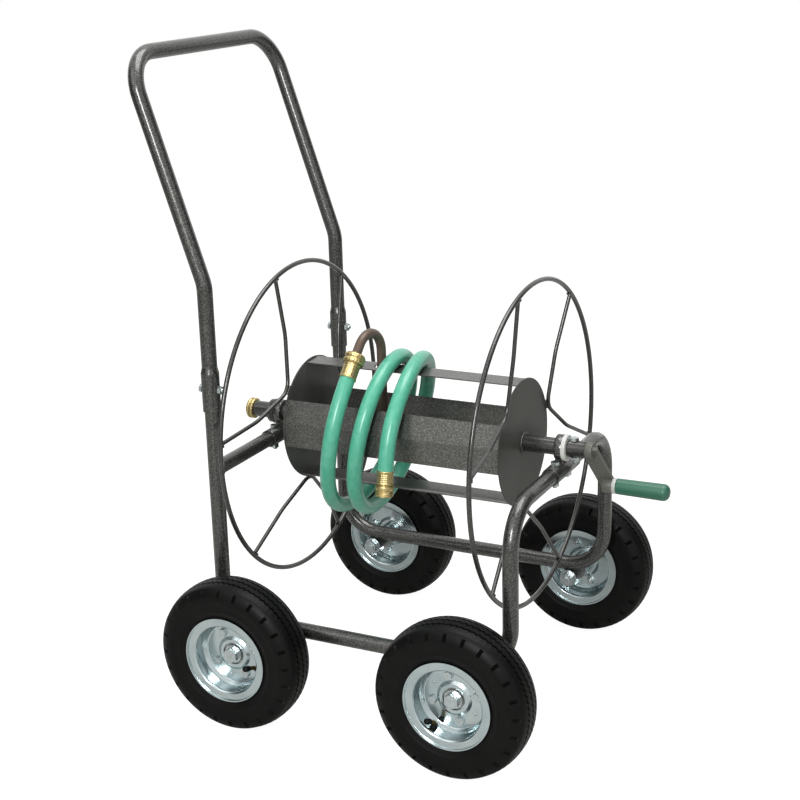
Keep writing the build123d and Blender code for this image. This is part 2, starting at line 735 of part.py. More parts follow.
# ---------------------------------------------------------------- gooseneck and leader hose
yaw = radians(gooseneck_yaw)
gooseneck_plane = Plane(
    origin=(gooseneck_x, 0, reel_z),
    x_dir=(-sin(yaw), -cos(yaw), 0),
    z_dir=(-cos(yaw), sin(yaw), 0),
)
thread_length = 8.5
nut_start = gooseneck_tail + 2.0
with BuildPart() as gooseneck:
    with BuildLine(gooseneck_plane) as gooseneck_line:
        riser = Line((0, shaft_bore / 2 + 0.5), (0, gooseneck_rise))
        arch = JernArc(riser @ 1, riser % 1, gooseneck_radius, -gooseneck_sweep)
        Line(arch @ 1, (arch @ 1) + (arch % 1) * (nut_start + thread_length + 1))
    with BuildSketch(Plane(origin=gooseneck_line.line @ 0, z_dir=gooseneck_line.line % 0)):
        Circle(gooseneck_od / 2)
        Circle(gooseneck_bore / 2, mode=Mode.SUBTRACT)
    sweep(path=gooseneck_line.line)
    # Threaded collar brazed to the end of the pipe.
    gooseneck_end = Plane(origin=gooseneck_line.line @ 1, z_dir=gooseneck_line.line % 1)
    round_bar(
        gooseneck_end.offset(-thread_length), thread_bore - 0.3, thread_length, gooseneck_bore
    )
gooseneck.part.label = "gooseneck"

# The nut turns on the hose tail; its lip hooks behind the flange of the tail.
lip_seat = gooseneck_end.offset(coupling_nut_length - thread_length)
with BuildPart() as outlet_swivel:
    ribbed_nut(
        Plane(origin=lip_seat.origin, x_dir=lip_seat.x_dir, z_dir=-lip_seat.z_dir),
        coupling_nut_od, coupling_nut_length, thread_bore, 2 * swivel_lip, swivel_lip, 17.0,
    )
outlet_swivel.part.label = "outlet_swivel"

with BuildPart() as hose_ferrule:
    tail_flange = lip_seat.offset(-swivel_lip - swivel_play)
    round_bar(tail_flange.offset(-swivel_lip), thread_bore - 0.6, swivel_lip, gooseneck_bore)
    round_bar(tail_flange, 16.6, swivel_lip + 2 * swivel_play, gooseneck_bore)
    ferrule_seat = lip_seat.offset(swivel_play)
    with BuildSketch(Plane(origin=ferrule_seat.origin, x_dir=ferrule_seat.x_dir,
                           z_dir=-ferrule_seat.y_dir)):
        with BuildLine():
            # A crimped shell: a shallow waist between two rolled ends.
            ThreePointArc(
                (ferrule_od / 2, 0),
                (ferrule_od / 2 - 0.9, ferrule_length / 2),
                (ferrule_od / 2, ferrule_length),
            )
            Polyline(
                (ferrule_od / 2, ferrule_length), (gooseneck_bore / 2, ferrule_length),
                (gooseneck_bore / 2, 0), (ferrule_od / 2, 0),
            )
        make_face()
    revolve(axis=Axis(ferrule_seat.origin, ferrule_seat.z_dir))
hose_ferrule.part.label = "hose_ferrule"

# The leader hose makes two and a half loose turns round the drum. A turn is worked out by a
# formula: round the shaft, drifting toward the crank, sagging, and wide where it begins.
hose_start = ferrule_seat.offset(ferrule_length)
coil_radius = 114.7
coil_sag = 10.9
coil_pitch = 37.1
coil_start_x = -95.3
coil_sway = 29.1
coil_lean = -0.7
coil_lean_growth = 8.4
coil_lead_in = 75.0
coil_lead_in_x = 48.0
points_per_turn = 12
first_step = 3                  # a quarter turn from the top
last_step = 26
hose_points = [hose_start.origin, hose_start.origin + hose_start.z_dir * hose_lead]
for step in range(first_step, last_step + 1):
    turns = step / points_per_turn
    angle = 2 * pi * turns
    lead_in = max(0.0, 1 - 2 * turns) ** 2
    radius = (coil_radius + coil_lead_in * lead_in) / cos(pi / points_per_turn)
    hose_points.append(
        Vector(
            coil_start_x + coil_pitch * turns + coil_sway * cos(angle)
            + (coil_lean + coil_lean_growth * turns) * sin(angle) + coil_lead_in_x * lead_in,
            -radius * sin(angle),
            reel_z - coil_sag + radius * cos(angle),
        )
    )
hose_points += [Vector(13.5, -121.0, 404.0), Vector(13.0, -126.0, 372.0)]


def bend_radii(points):
    """The largest radius that each corner's two runs leave room for."""
    radii = []
    for before, corner, after in zip(points, points[1:], points[2:]):
        shorter = min((corner - before).length, (after - corner).length)
        turn = (corner - before).get_angle(after - corner)
        radii.append(0.45 * shorter / (sin(radians(turn / 2)) / cos(radians(turn / 2))))
    return radii


hose_radii = bend_radii(hose_points)
with BuildPart() as leader_hose:
    with BuildLine() as hose_line:
        FilletPolyline(*hose_points, radius=hose_radii)
    with BuildSketch(Plane(origin=hose_line.line @ 0, z_dir=hose_line.line % 0)):
        Circle(hose_od / 2)
    sweep(path=hose_line.line)
leader_hose.part.label = "leader_hose"
print("hose bend radii:", [round(radius) for radius in hose_radii])
hose_length = sum(edge.length for edge in hose_line.edges())
hose_section = pi * hose_od ** 2 / 4
print("hose length:", round(hose_length), "mm")
print("hose volume over section x length:", leader_hose.part.volume / hose_section / hose_length)

# Male coupling on the free end: crimped ferrule, collar and threaded end.
coupling_seat = Plane(origin=hose_line.line @ 1, z_dir=hose_line.line % 1)
with BuildPart() as male_coupling:
    with BuildSketch(Plane(origin=coupling_seat.origin, x_dir=coupling_seat.x_dir,
                           z_dir=-coupling_seat.y_dir)):
        body_start = ferrule_length - 2.0
        body_end = body_start + male_length
        with BuildLine():
            ThreePointArc(
                (ferrule_od / 2 - 0.6, 0),
                (ferrule_od / 2 - 1.2, body_start / 2),
                (ferrule_od / 2 - 0.6, body_start - 2),
            )
            Polyline(
                (ferrule_od / 2 - 0.6, body_start - 2), (ferrule_od / 2 - 2.0, body_start - 1.4),
                (ferrule_od / 2 - 2.0, body_start), (male_nut_od / 2, body_start + 0.8),
                (male_nut_od / 2, body_start + 6), (male_thread_od / 2, body_start + 7),
                (male_thread_od / 2, body_end - 1), (male_thread_od / 2 - 1, body_end),
                (gooseneck_bore / 2, body_end), (gooseneck_bore / 2, 0), (ferrule_od / 2 - 0.6, 0),
            )
        make_face()
    revolve(axis=Axis(coupling_seat.origin, coupling_seat.z_dir))
male_coupling.part.label = "male_coupling"

# ---------------------------------------------------------------- crank
# Local x runs down the arm, local y across its thickness, and the normal along the shaft.
fall = radians(crank_angle)
arm_plane = Plane(origin=(shaft_front, 0, reel_z), x_dir=(0, cos(fall), -sin(fall)), z_dir=(1, 0, 0))
pivot_along = pivot_y * cos(fall) + pivot_drop * sin(fall)
pivot_across = pivot_y * sin(fall) - pivot_drop * cos(fall)
pivot_boss_end = crank_x + crank_wide
with BuildPart() as crank_arm:
    # The flat arm, notched round the end of the shaft.
    with BuildSketch(arm_plane):
        with Locations((-9.0, -crank_offset)):
            Rectangle(crank_reach + 9.0, crank_thick, align=(Align.MIN, Align.MIN))
    extrude(amount=crank_x + crank_wide - shaft_front)
    with BuildSketch(arm_plane.offset(crank_x - shaft_front)):
        with Locations((shaft_od / 2 + 0.3, -crank_offset)):
            Rectangle(crank_reach - shaft_od / 2 - 0.3, crank_thick, align=(Align.MIN, Align.MIN))
    extrude(amount=shaft_front - crank_x)
    end_corners = crank_arm.edges().filter_by(Axis(arm_plane.origin, arm_plane.y_dir))
    fillet(end_corners.sort_by(Axis(arm_plane.origin, arm_plane.x_dir))[-2:], crank_end_radius)
    # End cap and the stub that plugs the shaft.
    round_bar(arm_plane.offset(-crank_stub_length), shaft_bore - hub_seat_clearance, crank_stub_length)
    round_bar(arm_plane, shaft_od - 0.6, crank_cap_length)
    with BuildSketch(Plane(origin=(crank_bolt_x, 0, reel_z - shaft_od))):
        Circle(bolt_hole / 2)
    extrude(amount=2 * shaft_od, mode=Mode.SUBTRACT)
    # Boss for the grip bolt.
    boss_plane = arm_plane.offset(pivot_boss_x - shaft_front)
    with BuildSketch(boss_plane):
        with Locations((pivot_along, pivot_across)):
            Circle(pivot_boss_od / 2)
    extrude(amount=pivot_boss_end - pivot_boss_x)
    with BuildSketch(boss_plane):
        with Locations((pivot_along, pivot_across)):
            Circle((grip_pin + hub_seat_clearance) / 2)
    extrude(amount=pivot_boss_end - pivot_boss_x, mode=Mode.SUBTRACT)
crank_arm.part.label = "crank_arm"

with BuildPart() as crank_bolt:
    head_seat = Plane(origin=(crank_bolt_x, 0, reel_z + shaft_od / 2))
    hexagon(head_seat, bolt_head_af, bolt_head)
    shank = Plane(origin=head_seat.origin, z_dir=(0, 0, -1))
    round_bar(shank, bolt_dia - hub_seat_clearance, shaft_od + bolt_nut + bolt_tail)
    hexagon(shank.offset(shaft_od), bolt_head_af, bolt_nut, bolt_dia)
crank_bolt.part.label = "crank_bolt"

pivot_plane = Plane(
    origin=(pivot_boss_end, pivot_y, reel_z - pivot_drop), x_dir=(0, 1, 0), z_dir=(1, 0, 0)
)
grip_start = grip_spacer + grip_clearance
grip_end = grip_start + grip_length
pin_head_start = grip_end - 24.0
pin_head_length = 9.0
with BuildPart() as grip_bolt:
    round_bar(
        pivot_plane.offset(pivot_boss_x - pivot_boss_end), grip_pin,
        pin_head_start + pivot_boss_end - pivot_boss_x,
    )
    round_bar(pivot_plane.offset(pin_head_start), grip_pin_head, pin_head_length)
grip_bolt.part.label = "grip_bolt"

with BuildPart() as grip_spacer_ring:
    round_bar(pivot_plane, pivot_boss_od, grip_spacer, grip_pin + hub_seat_clearance)
    chamfer(grip_spacer_ring.edges().filter_by(GeomType.CIRCLE).group_by(SortBy.RADIUS)[-1], 0.6)
grip_spacer_ring.part.label = "grip_spacer"

# A moulded grip, snapped over the head of its bolt.
with BuildPart() as crank_grip:
    bore_radius = grip_pin / 2 + hub_seat_clearance
    head_radius = grip_pin_head / 2 + grip_clearance
    with BuildSketch(Plane(origin=pivot_plane.origin, x_dir=(0, 1, 0), z_dir=(0, 0, -1))):
        with BuildLine():
            Polyline((bore_radius, grip_start), (grip_od_inner / 2 - 1, grip_start))
            Polyline(
                (grip_od_inner / 2 - 1, grip_start), (grip_od_inner / 2, grip_start + 1),
                (grip_od_outer / 2, grip_end - 9),
            )
            ThreePointArc(
                (grip_od_outer / 2, grip_end - 9),
                (grip_od_outer / 2 - 2.6, grip_end - 2.6),
                (grip_od_outer / 2 - 9, grip_end),
            )
            Polyline(
                (grip_od_outer / 2 - 9, grip_end), (0, grip_end),
                (0, pin_head_start + pin_head_length + 1.5),
                (head_radius, pin_head_start + pin_head_length + 1.5),
                (head_radius, pin_head_start - grip_clearance),
                (bore_radius, pin_head_start - grip_clearance), (bore_radius, grip_start),
            )
        make_face()
    revolve(axis=Axis(pivot_plane.origin, (1, 0, 0)))
crank_grip.part.label = "crank_grip"

# ---------------------------------------------------------------- files
single_pieces = [
    near_side_frame,
    far_side_frame,
    front_support,
    rear_support,
    front_bushing,
    rear_bushing,
    support_bolts,
    handle,
    handle_bolts,
    frame_nuts,
    axle_bolts,
    axle_nuts,
    axle_washers,
    front_disc,
    rear_disc,
    drum_slats,
    front_flange,
    rear_flange,
    reel_shaft,
    shaft_collar,
    inlet_swivel,
    inlet_washer,
    gooseneck,
    outlet_swivel,
    hose_ferrule,
    leader_hose,
    male_coupling,
    crank_arm,
    crank_bolt,
    grip_bolt,
    grip_spacer_ring,
    crank_grip,
]
for piece in single_pieces:
    placed = piece.part.moved(to_origin)
    placed.label = piece.part.label
    export_step(placed, f"parts/{placed.label}.step")
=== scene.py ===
import logging
from dataclasses import dataclass, field
from enum import Enum
from functools import cache
from math import atan2, cos, pi, radians, sin, tau
from typing import Callable, NamedTuple

import bmesh
import bpy
from mathutils import Matrix, Vector


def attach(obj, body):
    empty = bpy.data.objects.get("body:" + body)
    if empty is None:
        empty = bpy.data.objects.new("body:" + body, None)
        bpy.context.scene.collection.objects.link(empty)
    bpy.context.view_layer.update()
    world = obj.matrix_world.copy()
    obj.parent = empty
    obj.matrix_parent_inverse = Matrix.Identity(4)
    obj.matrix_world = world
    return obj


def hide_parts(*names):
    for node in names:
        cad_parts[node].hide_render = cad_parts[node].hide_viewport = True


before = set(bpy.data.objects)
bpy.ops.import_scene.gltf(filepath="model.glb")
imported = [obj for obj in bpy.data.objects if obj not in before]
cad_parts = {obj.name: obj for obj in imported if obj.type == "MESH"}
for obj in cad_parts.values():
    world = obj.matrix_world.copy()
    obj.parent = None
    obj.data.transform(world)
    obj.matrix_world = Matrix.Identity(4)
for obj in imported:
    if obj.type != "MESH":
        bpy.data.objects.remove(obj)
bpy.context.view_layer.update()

# Looks of a garden hose reel cart: painted tube, zinc rims, tyres, brass fittings and hose.
# +X runs along the reel shaft toward the crank, -X is the push handle, +Z is up, and the origin
# is on the ground under the middle. Everything here is in metres.

LOG = logging.getLogger("hose_reel_cart")
MM = 0.001
REEL_AXIS_HEIGHT = 0.3941
AXLE_HEIGHT = 0.1125
WHEEL_X = 0.173                 # axles, before and behind the middle between the wheels
ALONG_X = -0.01225              # from the middle between the wheels to the origin
WHITE = (1.0, 1.0, 1.0, 1.0)


# ---------------------------------------------------------------- small helpers
def linear(hex_colour: str) -> tuple[float, float, float, float]:
    """Turn an sRGB hex colour into linear light.

    Args:
        hex_colour: six hex digits with a leading #.

    Returns:
        Red, green, blue and alpha, each from 0 to 1.
    """
    channels = []
    for start in (1, 3, 5):
        value = int(hex_colour[start:start + 2], 16) / 255
        channels.append(value / 12.92 if value <= 0.04045 else ((value + 0.055) / 1.055) ** 2.4)
    return (channels[0], channels[1], channels[2], 1.0)


def add_node(tree: bpy.types.NodeTree, kind: str, inputs: dict, **settings) -> bpy.types.Node:
    """Add a node, set its options, and set or link its inputs.

    Args:
        tree: the tree that gets the node.
        kind: Blender's name of the node type.
        inputs: socket name or number to a value, or to an output socket to link from.
        settings: the node's own options.

    Returns:
        The new node.
    """
    node = tree.nodes.new(kind)
    for option, value in settings.items():
        setattr(node, option, value)
    for socket, value in inputs.items():
        if isinstance(value, bpy.types.NodeSocket):
            tree.links.new(value, node.inputs[socket])
        else:
            node.inputs[socket].default_value = value
    return node


def blank_material(name: str) -> bpy.types.Material:
    """Make a material whose node tree is empty."""
    made = bpy.data.materials.new(name)
    made.use_nodes = True
    made.node_tree.nodes.clear()
    return made


def pattern_scale(size_mm: float) -> float:
    """Texture scale at which one cell of a pattern is this many millimetres across."""
    return 1.0 / (size_mm * MM)


# ---------------------------------------------------------------- finishes
class Patterned:
    """A finish that shades its surface with a pattern in the cart's own coordinates."""

    name: str

    def shade(self, tree: bpy.types.NodeTree, place: bpy.types.NodeSocket) -> bpy.types.Node:
        """Build the nodes and return the surface shader."""
        raise NotImplementedError

    @cache
    def material(self) -> bpy.types.Material:
        """Return the finish as a material, made once."""
        made = blank_material(self.name)
        tree = made.node_tree
        place = add_node(tree, "ShaderNodeTexCoord", {}).outputs["Object"]
        surface = self.shade(tree, place)
        add_node(tree, "ShaderNodeOutputMaterial", {"Surface": surface.outputs[0]})
        return made


def two_tones(tree: bpy.types.NodeTree, share: bpy.types.NodeSocket, low: float, high: float,
              first: str, second: str) -> bpy.types.NodeSocket:
    """Blend two colours as a value runs from low to high.

    Args:
        tree: the material's tree.
        share: the value that chooses between them.
        low: the value at which only the first colour shows.
        high: the value at which only the second colour shows.
        first: sRGB hex.
        second: sRGB hex.

    Returns:
        The colour.
    """
    ramp = add_node(tree, "ShaderNodeValToRGB", {"Fac": share})
    ramp.color_ramp.elements[0].position = low
    ramp.color_ramp.elements[0].color = linear(first)
    ramp.color_ramp.elements[1].position = high
    ramp.color_ramp.elements[1].color = linear(second)
    return ramp.outputs["Color"]


@dataclass(frozen=True)
class HammertoneEnamel(Patterned):
    """Silver-vein hammertone enamel, sprayed on steel: dark dimples ringed by bright flake."""

    name: str = "hammertone_enamel"
    dimple: str = "#2e2e2d"
    flake: str = "#676763"
    # Real dimples are about 1 mm across; they are drawn coarser so that they show.
    dimple_mm: float = 1.7
    metallic: float = 0.68
    roughness: float = 0.35
    specular: float = 0.2
    coat: float = 0.75
    coat_roughness: float = 0.13
    dimple_depth_mm: float = 0.3

    def shade(self, tree: bpy.types.NodeTree, place: bpy.types.NodeSocket) -> bpy.types.Node:
        """Build the nodes and return the surface shader."""
        drift = add_node(
            tree, "ShaderNodeTexNoise",
            {"Vector": place, "Scale": pattern_scale(self.dimple_mm * 1.3), "Detail": 3.0,
             "Roughness": 0.65},
        )
        cells = add_node(
            tree, "ShaderNodeTexVoronoi",
            {"Vector": place, "Scale": pattern_scale(self.dimple_mm), "Randomness": 1.0},
            feature="SMOOTH_F1",
        )
        vein = add_node(
            tree, "ShaderNodeMath", {0: cells.outputs["Distance"], 1: drift.outputs[0]},
            operation="MULTIPLY",
        )
        colour = two_tones(tree, vein.outputs[0], 0.12, 0.42, self.dimple, self.flake)
        bump = add_node(
            tree, "ShaderNodeBump",
            {"Strength": 0.35, "Distance": self.dimple_depth_mm * MM, "Height": vein.outputs[0]},
        )
        return add_node(
            tree, "ShaderNodeBsdfPrincipled",
            {"Base Color": colour, "Metallic": self.metallic, "Roughness": self.roughness,
             "Specular IOR Level": self.specular, "Coat Weight": self.coat,
             "Coat Roughness": self.coat_roughness, "Normal": bump.outputs[0]},
        )


@dataclass(frozen=True)
class SmoothEnamel(Patterned):
    """Gloss enamel on flat steel sheet, sprayed: an even grey with a little orange peel."""

    name: str
    body: str
    thin: str
    metallic: float = 0.1
    roughness: float = 0.34
    specular: float = 0.12
    coat: float = 0.03
    coat_roughness: float = 0.1
    cloud_mm: float = 60.0
    peel_mm: float = 3.0

    def shade(self, tree: bpy.types.NodeTree, place: bpy.types.NodeSocket) -> bpy.types.Node:
        """Build the nodes and return the surface shader."""
        cloud = add_node(
            tree, "ShaderNodeTexNoise",
            {"Vector": place, "Scale": pattern_scale(self.cloud_mm), "Detail": 2.0},
        )
        colour = two_tones(tree, cloud.outputs[0], 0.3, 0.7, self.body, self.thin)
        peel = add_node(
            tree, "ShaderNodeTexNoise",
            {"Vector": place, "Scale": pattern_scale(self.peel_mm), "Detail": 1.0},
        )
        bump = add_node(
            tree, "ShaderNodeBump",
            {"Strength": 0.08, "Distance": 0.2 * MM, "Height": peel.outputs[0]},
        )
        return add_node(
            tree, "ShaderNodeBsdfPrincipled",
            {"Base Color": colour, "Metallic": self.metallic, "Roughness": self.roughness,
             "Specular IOR Level": self.specular, "Coat Weight": self.coat,
             "Coat Roughness": self.coat_roughness, "Normal": bump.outputs[0]},
        )


@dataclass(frozen=True)
class ZincPlate(Patterned):
    """Bright zinc electroplate on pressed steel: a bluish metal, cloudy where it was dipped."""

    name: str = "bright_zinc_plate"
    clear: str = "#bec9ca"
    cloudy: str = "#acb8bb"
    roughness_low: float = 0.17
    roughness_high: float = 0.28
    cloud_mm: float = 40.0

    def shade(self, tree: bpy.types.NodeTree, place: bpy.types.NodeSocket) -> bpy.types.Node:
        """Build the nodes and return the surface shader."""
        cloud = add_node(
            tree, "ShaderNodeTexNoise",
            {"Vector": place, "Scale": pattern_scale(self.cloud_mm), "Detail": 4.0,
             "Roughness": 0.6},
        )
        colour = two_tones(tree, cloud.outputs[0], 0.35, 0.68, self.clear, self.cloudy)
        rough = add_node(
            tree, "ShaderNodeMapRange",
            {"Value": cloud.outputs[0], "From Min": 0.3, "From Max": 0.7,
             "To Min": self.roughness_low, "To Max": self.roughness_high},
        )
        return add_node(
            tree, "ShaderNodeBsdfPrincipled",
            {"Base Color": colour, "Metallic": 1.0, "Roughness": rough.outputs[0]},
        )


@dataclass(frozen=True)
class MouldedRubber(Patterned):
    """Carbon-black rubber from a mould: nearly black, with a dry bloom of dust."""

    name: str
    body: str = "#080908"
    bloom: str = "#0f100e"
    roughness: float = 0.42
    specular: float = 0.11
    dust_mm: float = 35.0
    grain_mm: float = 1.6

    def shade(self, tree: bpy.types.NodeTree, place: bpy.types.NodeSocket) -> bpy.types.Node:
        """Build the nodes and return the surface shader."""
        dust = add_node(
            tree, "ShaderNodeTexNoise",
            {"Vector": place, "Scale": pattern_scale(self.dust_mm), "Detail": 5.0,
             "Roughness": 0.7},
        )
        colour = two_tones(tree, dust.outputs[0], 0.38, 0.72, self.body, self.bloom)
        grain = add_node(
            tree, "ShaderNodeTexNoise",
            {"Vector": place, "Scale": pattern_scale(self.grain_mm), "Detail": 2.0},
        )
        bump = add_node(
            tree, "ShaderNodeBump",
            {"Strength": 0.15, "Distance": 0.2 * MM, "Height": grain.outputs[0]},
        )
        return add_node(
            tree, "ShaderNodeBsdfPrincipled",
            {"Base Color": colour, "Roughness": self.roughness,
             "Specular IOR Level": self.specular, "Normal": bump.outputs[0]},
        )


@dataclass(frozen=True)
class ExtrudedVinyl(Patterned):
    """Glossy PVC hose, extruded: an even green skin with slight waves and a soft shine."""

    name: str = "green_vinyl_hose"
    body: str = "#4ba689"
    pale: str = "#58ae93"
    roughness: float = 0.3
    coat: float = 0.15
    coat_roughness: float = 0.2
    wave_mm: float = 9.0

    def shade(self, tree: bpy.types.NodeTree, place: bpy.types.NodeSocket) -> bpy.types.Node:
        """Build the nodes and return the surface shader."""
        wave = add_node(
            tree, "ShaderNodeTexNoise",
            {"Vector": place, "Scale": pattern_scale(self.wave_mm), "Detail": 2.0},
        )
        colour = two_tones(tree, wave.outputs[0], 0.35, 0.65, self.body, self.pale)
        bump = add_node(
            tree, "ShaderNodeBump",
            {"Strength": 0.22, "Distance": 0.4 * MM, "Height": wave.outputs[0]},
        )
        return add_node(
            tree, "ShaderNodeBsdfPrincipled",
            {"Base Color": colour, "Roughness": self.roughness, "Coat Weight": self.coat,
             "Coat Roughness": self.coat_roughness, "Normal": bump.outputs[0]},
        )


@dataclass(frozen=True)
class TurnedMetal(Patterned):
    """Metal turned on a lathe: bright, with fine tool marks that soften the shine unevenly."""

    name: str
    bright: str
    dull: str
    roughness_low: float
    roughness_high: float
    mark_mm: float = 3.5

    def shade(self, tree: bpy.types.NodeTree, place: bpy.types.NodeSocket) -> bpy.types.Node:
        """Build the nodes and return the surface shader."""
        marks = add_node(
            tree, "ShaderNodeTexNoise",
            {"Vector": place, "Scale": pattern_scale(self.mark_mm), "Detail": 4.0,
             "Roughness": 0.7},
        )
        colour = two_tones(tree, marks.outputs[0], 0.36, 0.7, self.bright, self.dull)
        rough = add_node(
            tree, "ShaderNodeMapRange",
            {"Value": marks.outputs[0], "From Min": 0.3, "From Max": 0.7,
             "To Min": self.roughness_low, "To Max": self.roughness_high},
        )
        return add_node(
            tree, "ShaderNodeBsdfPrincipled",
            {"Base Color": colour, "Metallic": 1.0, "Roughness": rough.outputs[0]},
        )


@dataclass(frozen=True)
class MouldedPlastic(Patterned):
    """Injection-moulded plastic: an even colour and a satin skin."""

    name: str
    body: str
    shade_tone: str
    roughness: float
    skin_mm: float = 1.2
    subsurface: float = 0.0

    def shade(self, tree: bpy.types.NodeTree, place: bpy.types.NodeSocket) -> bpy.types.Node:
        """Build the nodes and return the surface shader."""
        skin = add_node(
            tree, "ShaderNodeTexNoise",
            {"Vector": place, "Scale": pattern_scale(self.skin_mm), "Detail": 2.0},
        )
        colour = two_tones(tree, skin.outputs[0], 0.3, 0.7, self.body, self.shade_tone)
        bump = add_node(
            tree, "ShaderNodeBump",
            {"Strength": 0.12, "Distance": 0.1 * MM, "Height": skin.outputs[0]},
        )
        return add_node(
            tree, "ShaderNodeBsdfPrincipled",
            {"Base Color": colour, "Roughness": self.roughness,
             "Subsurface Weight": self.subsurface, "Subsurface Scale": 2 * MM,
             "Normal": bump.outputs[0]},
        )


class Paint(Enum):
    """The finishes of the cart, each ready to put on a piece."""

    HAMMERTONE = HammertoneEnamel()
    # A darker, lower-contrast copy of the enamel for rods, shaft and collar: the darker tone is painted
    # shade, and the lower contrast keeps the flake from looking coarse on thin rods.
    HAMMERTONE_ROD_SHADED = HammertoneEnamel("hammertone_enamel_rod_painted_shade", "#333331", "#4f4f4c")
    # A lighter copy of the enamel for the drum slats: painted light, standing in for the light their upward
    # faces catch.
    HAMMERTONE_SHEET_LIT = HammertoneEnamel("hammertone_enamel_sheet_painted_light", "#4b4b49", "#7b7b76", coat=0.3)
    DISC = SmoothEnamel("disc_gloss_enamel", "#484845", "#4e4e4a")
    # The crank arm's enamel is painted lighter than the disc's, for the light its upper face catches.
    ARM_LIT = SmoothEnamel("arm_enamel_painted_light", "#65655f", "#6b6b65", roughness=0.42)
    GOOSENECK = SmoothEnamel("gooseneck_enamel", "#62554c", "#6b5d53", metallic=0.3, roughness=0.32)
    RIM = ZincPlate()
    FASTENER = TurnedMetal("zinc_plated_fastener", "#c2cacb", "#a9b1b2", 0.2, 0.36)
    BEARING = TurnedMetal("turned_bearing_steel", "#9b9c9a", "#6e6f6d", 0.3, 0.5)
    BRASS = TurnedMetal("turned_brass", "#c3b17f", "#ab9a68", 0.3, 0.42, 12.0)
    VALVE_STEM = TurnedMetal("valve_brass", "#7d6634", "#4b3d22", 0.3, 0.5)
    TYRE = MouldedRubber("carbon_black_rubber")
    CAP = MouldedRubber("valve_cap_rubber", "#101010", "#181818", 0.45)
    HOSE = ExtrudedVinyl()
    WHITE_NYLON = MouldedPlastic("moulded_white_nylon", "#cdcecb", "#c4c5c1", 0.42, subsurface=0.2)
    BLACK_NYLON = MouldedPlastic("moulded_black_nylon", "#1c1c1c", "#232323", 0.4)
    SPACER = MouldedPlastic("pale_grey_nylon", "#c3c5c1", "#b5b7b3", 0.42)
    GRIP = MouldedPlastic("green_grip_plastic", "#2b5f4c", "#306651", 0.38)

    def put_on(self, piece: bpy.types.Object) -> None:
        """Make this the only finish of a piece."""
        piece.data.materials.clear()
        piece.data.materials.append(self.value.material())


# ---------------------------------------------------------------- mesh helpers
def finished_object(name: str, mesh: bmesh.types.BMesh, paint: Paint, body: str,
                    sharp_angle: float = 40.0) -> bpy.types.Object:
    """Turn a bmesh into a shaded piece that rides on a body.

    Args:
        name: the piece's name.
        mesh: its mesh, freed afterwards.
        paint: its finish.
        body: the body it rides on.
        sharp_angle: edges that turn by more than this many degrees stay sharp.

    Returns:
        The piece.
    """
    bmesh.ops.recalc_face_normals(mesh, faces=mesh.faces)
    data = bpy.data.meshes.new(name)
    mesh.to_mesh(data)
    mesh.free()
    data.shade_smooth()
    data.set_sharp_from_angle(angle=radians(sharp_angle))
    piece = bpy.data.objects.new(name, data)
    bpy.context.scene.collection.objects.link(piece)
    paint.put_on(piece)
    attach(piece, body)
    LOG.info("%s: %d faces", name, len(data.polygons))
    return piece


def axis_frame(origin: Vector, direction: Vector) -> Matrix:
    """A placement whose local +Z runs along a direction from an origin."""
    turn = direction.normalized().to_track_quat("Z", "Y").to_matrix().to_4x4()
    return Matrix.Translation(origin) @ turn


Profile = list[tuple[float, float]]
Relief = Callable[[float, float, float], float]
Ring = list[bmesh.types.BMVert]


def add_skin(mesh: bmesh.types.BMesh, rings: list[Ring], closed: bool = True) -> None:
    """Join each ring of vertices to the next with four-sided faces.

    Args:
        mesh: the mesh that gets the faces.
        rings: the rings in order, each with as many vertices.
        closed: whether the last ring joins the first.
    """
    for here, there in zip(rings, rings[1:] + (rings[:1] if closed else [])):
        for index in range(len(here)):
            after = (index + 1) % len(here)
            mesh.faces.new((here[index], there[index], there[after], here[after]))


def add_lathe(mesh: bmesh.types.BMesh, profile: Profile, place: Matrix, segments: int = 96,
              relief: Relief | None = None) -> None:
    """Turn a closed profile round local Z and add it to a mesh.

    Args:
        mesh: the mesh that gets the faces.
        profile: (radius, height) points of a closed outline.
        place: where the lathe's axis stands.
        segments: steps round the axis.
        relief: gives what to add to the radius at (radius, height, angle).
    """
    rings = []
    for step in range(segments):
        angle = tau * step / segments
        ring = []
        for radius, height in profile:
            grown = radius + (relief(radius, height, angle) if relief else 0.0)
            ring.append(mesh.verts.new(place @ Vector((grown * cos(angle), grown * sin(angle), height))))
        rings.append(ring)
    add_skin(mesh, rings)


def add_rope(mesh: bmesh.types.BMesh, path: list[Vector], radii: list[float], closed: bool,
             sides: int = 10) -> None:
    """Add a round rod of changing radius along a path.

    Args:
        mesh: the mesh that gets the faces.
        path: its centre line.
        radii: its radius at each point.
        closed: whether the last point joins the first.
        sides: steps round the rod.
    """
    count = len(path)
    rings = []
    side = None
    for index, point in enumerate(path):
        before = path[index - 1] if index or closed else point
        after = path[(index + 1) % count] if index < count - 1 or closed else point
        along = (after - before).normalized()
        if side is None:
            side = along.orthogonal().normalized()
        side = (side - along * side.dot(along)).normalized()
        up = along.cross(side)
        rings.append([
            mesh.verts.new(point + radii[index] * (side * cos(tau * k / sides) + up * sin(tau * k / sides)))
            for k in range(sides)
        ])
    add_skin(mesh, rings, closed)
    if not closed:
        mesh.faces.new(rings[0][::-1])
        mesh.faces.new(rings[-1])


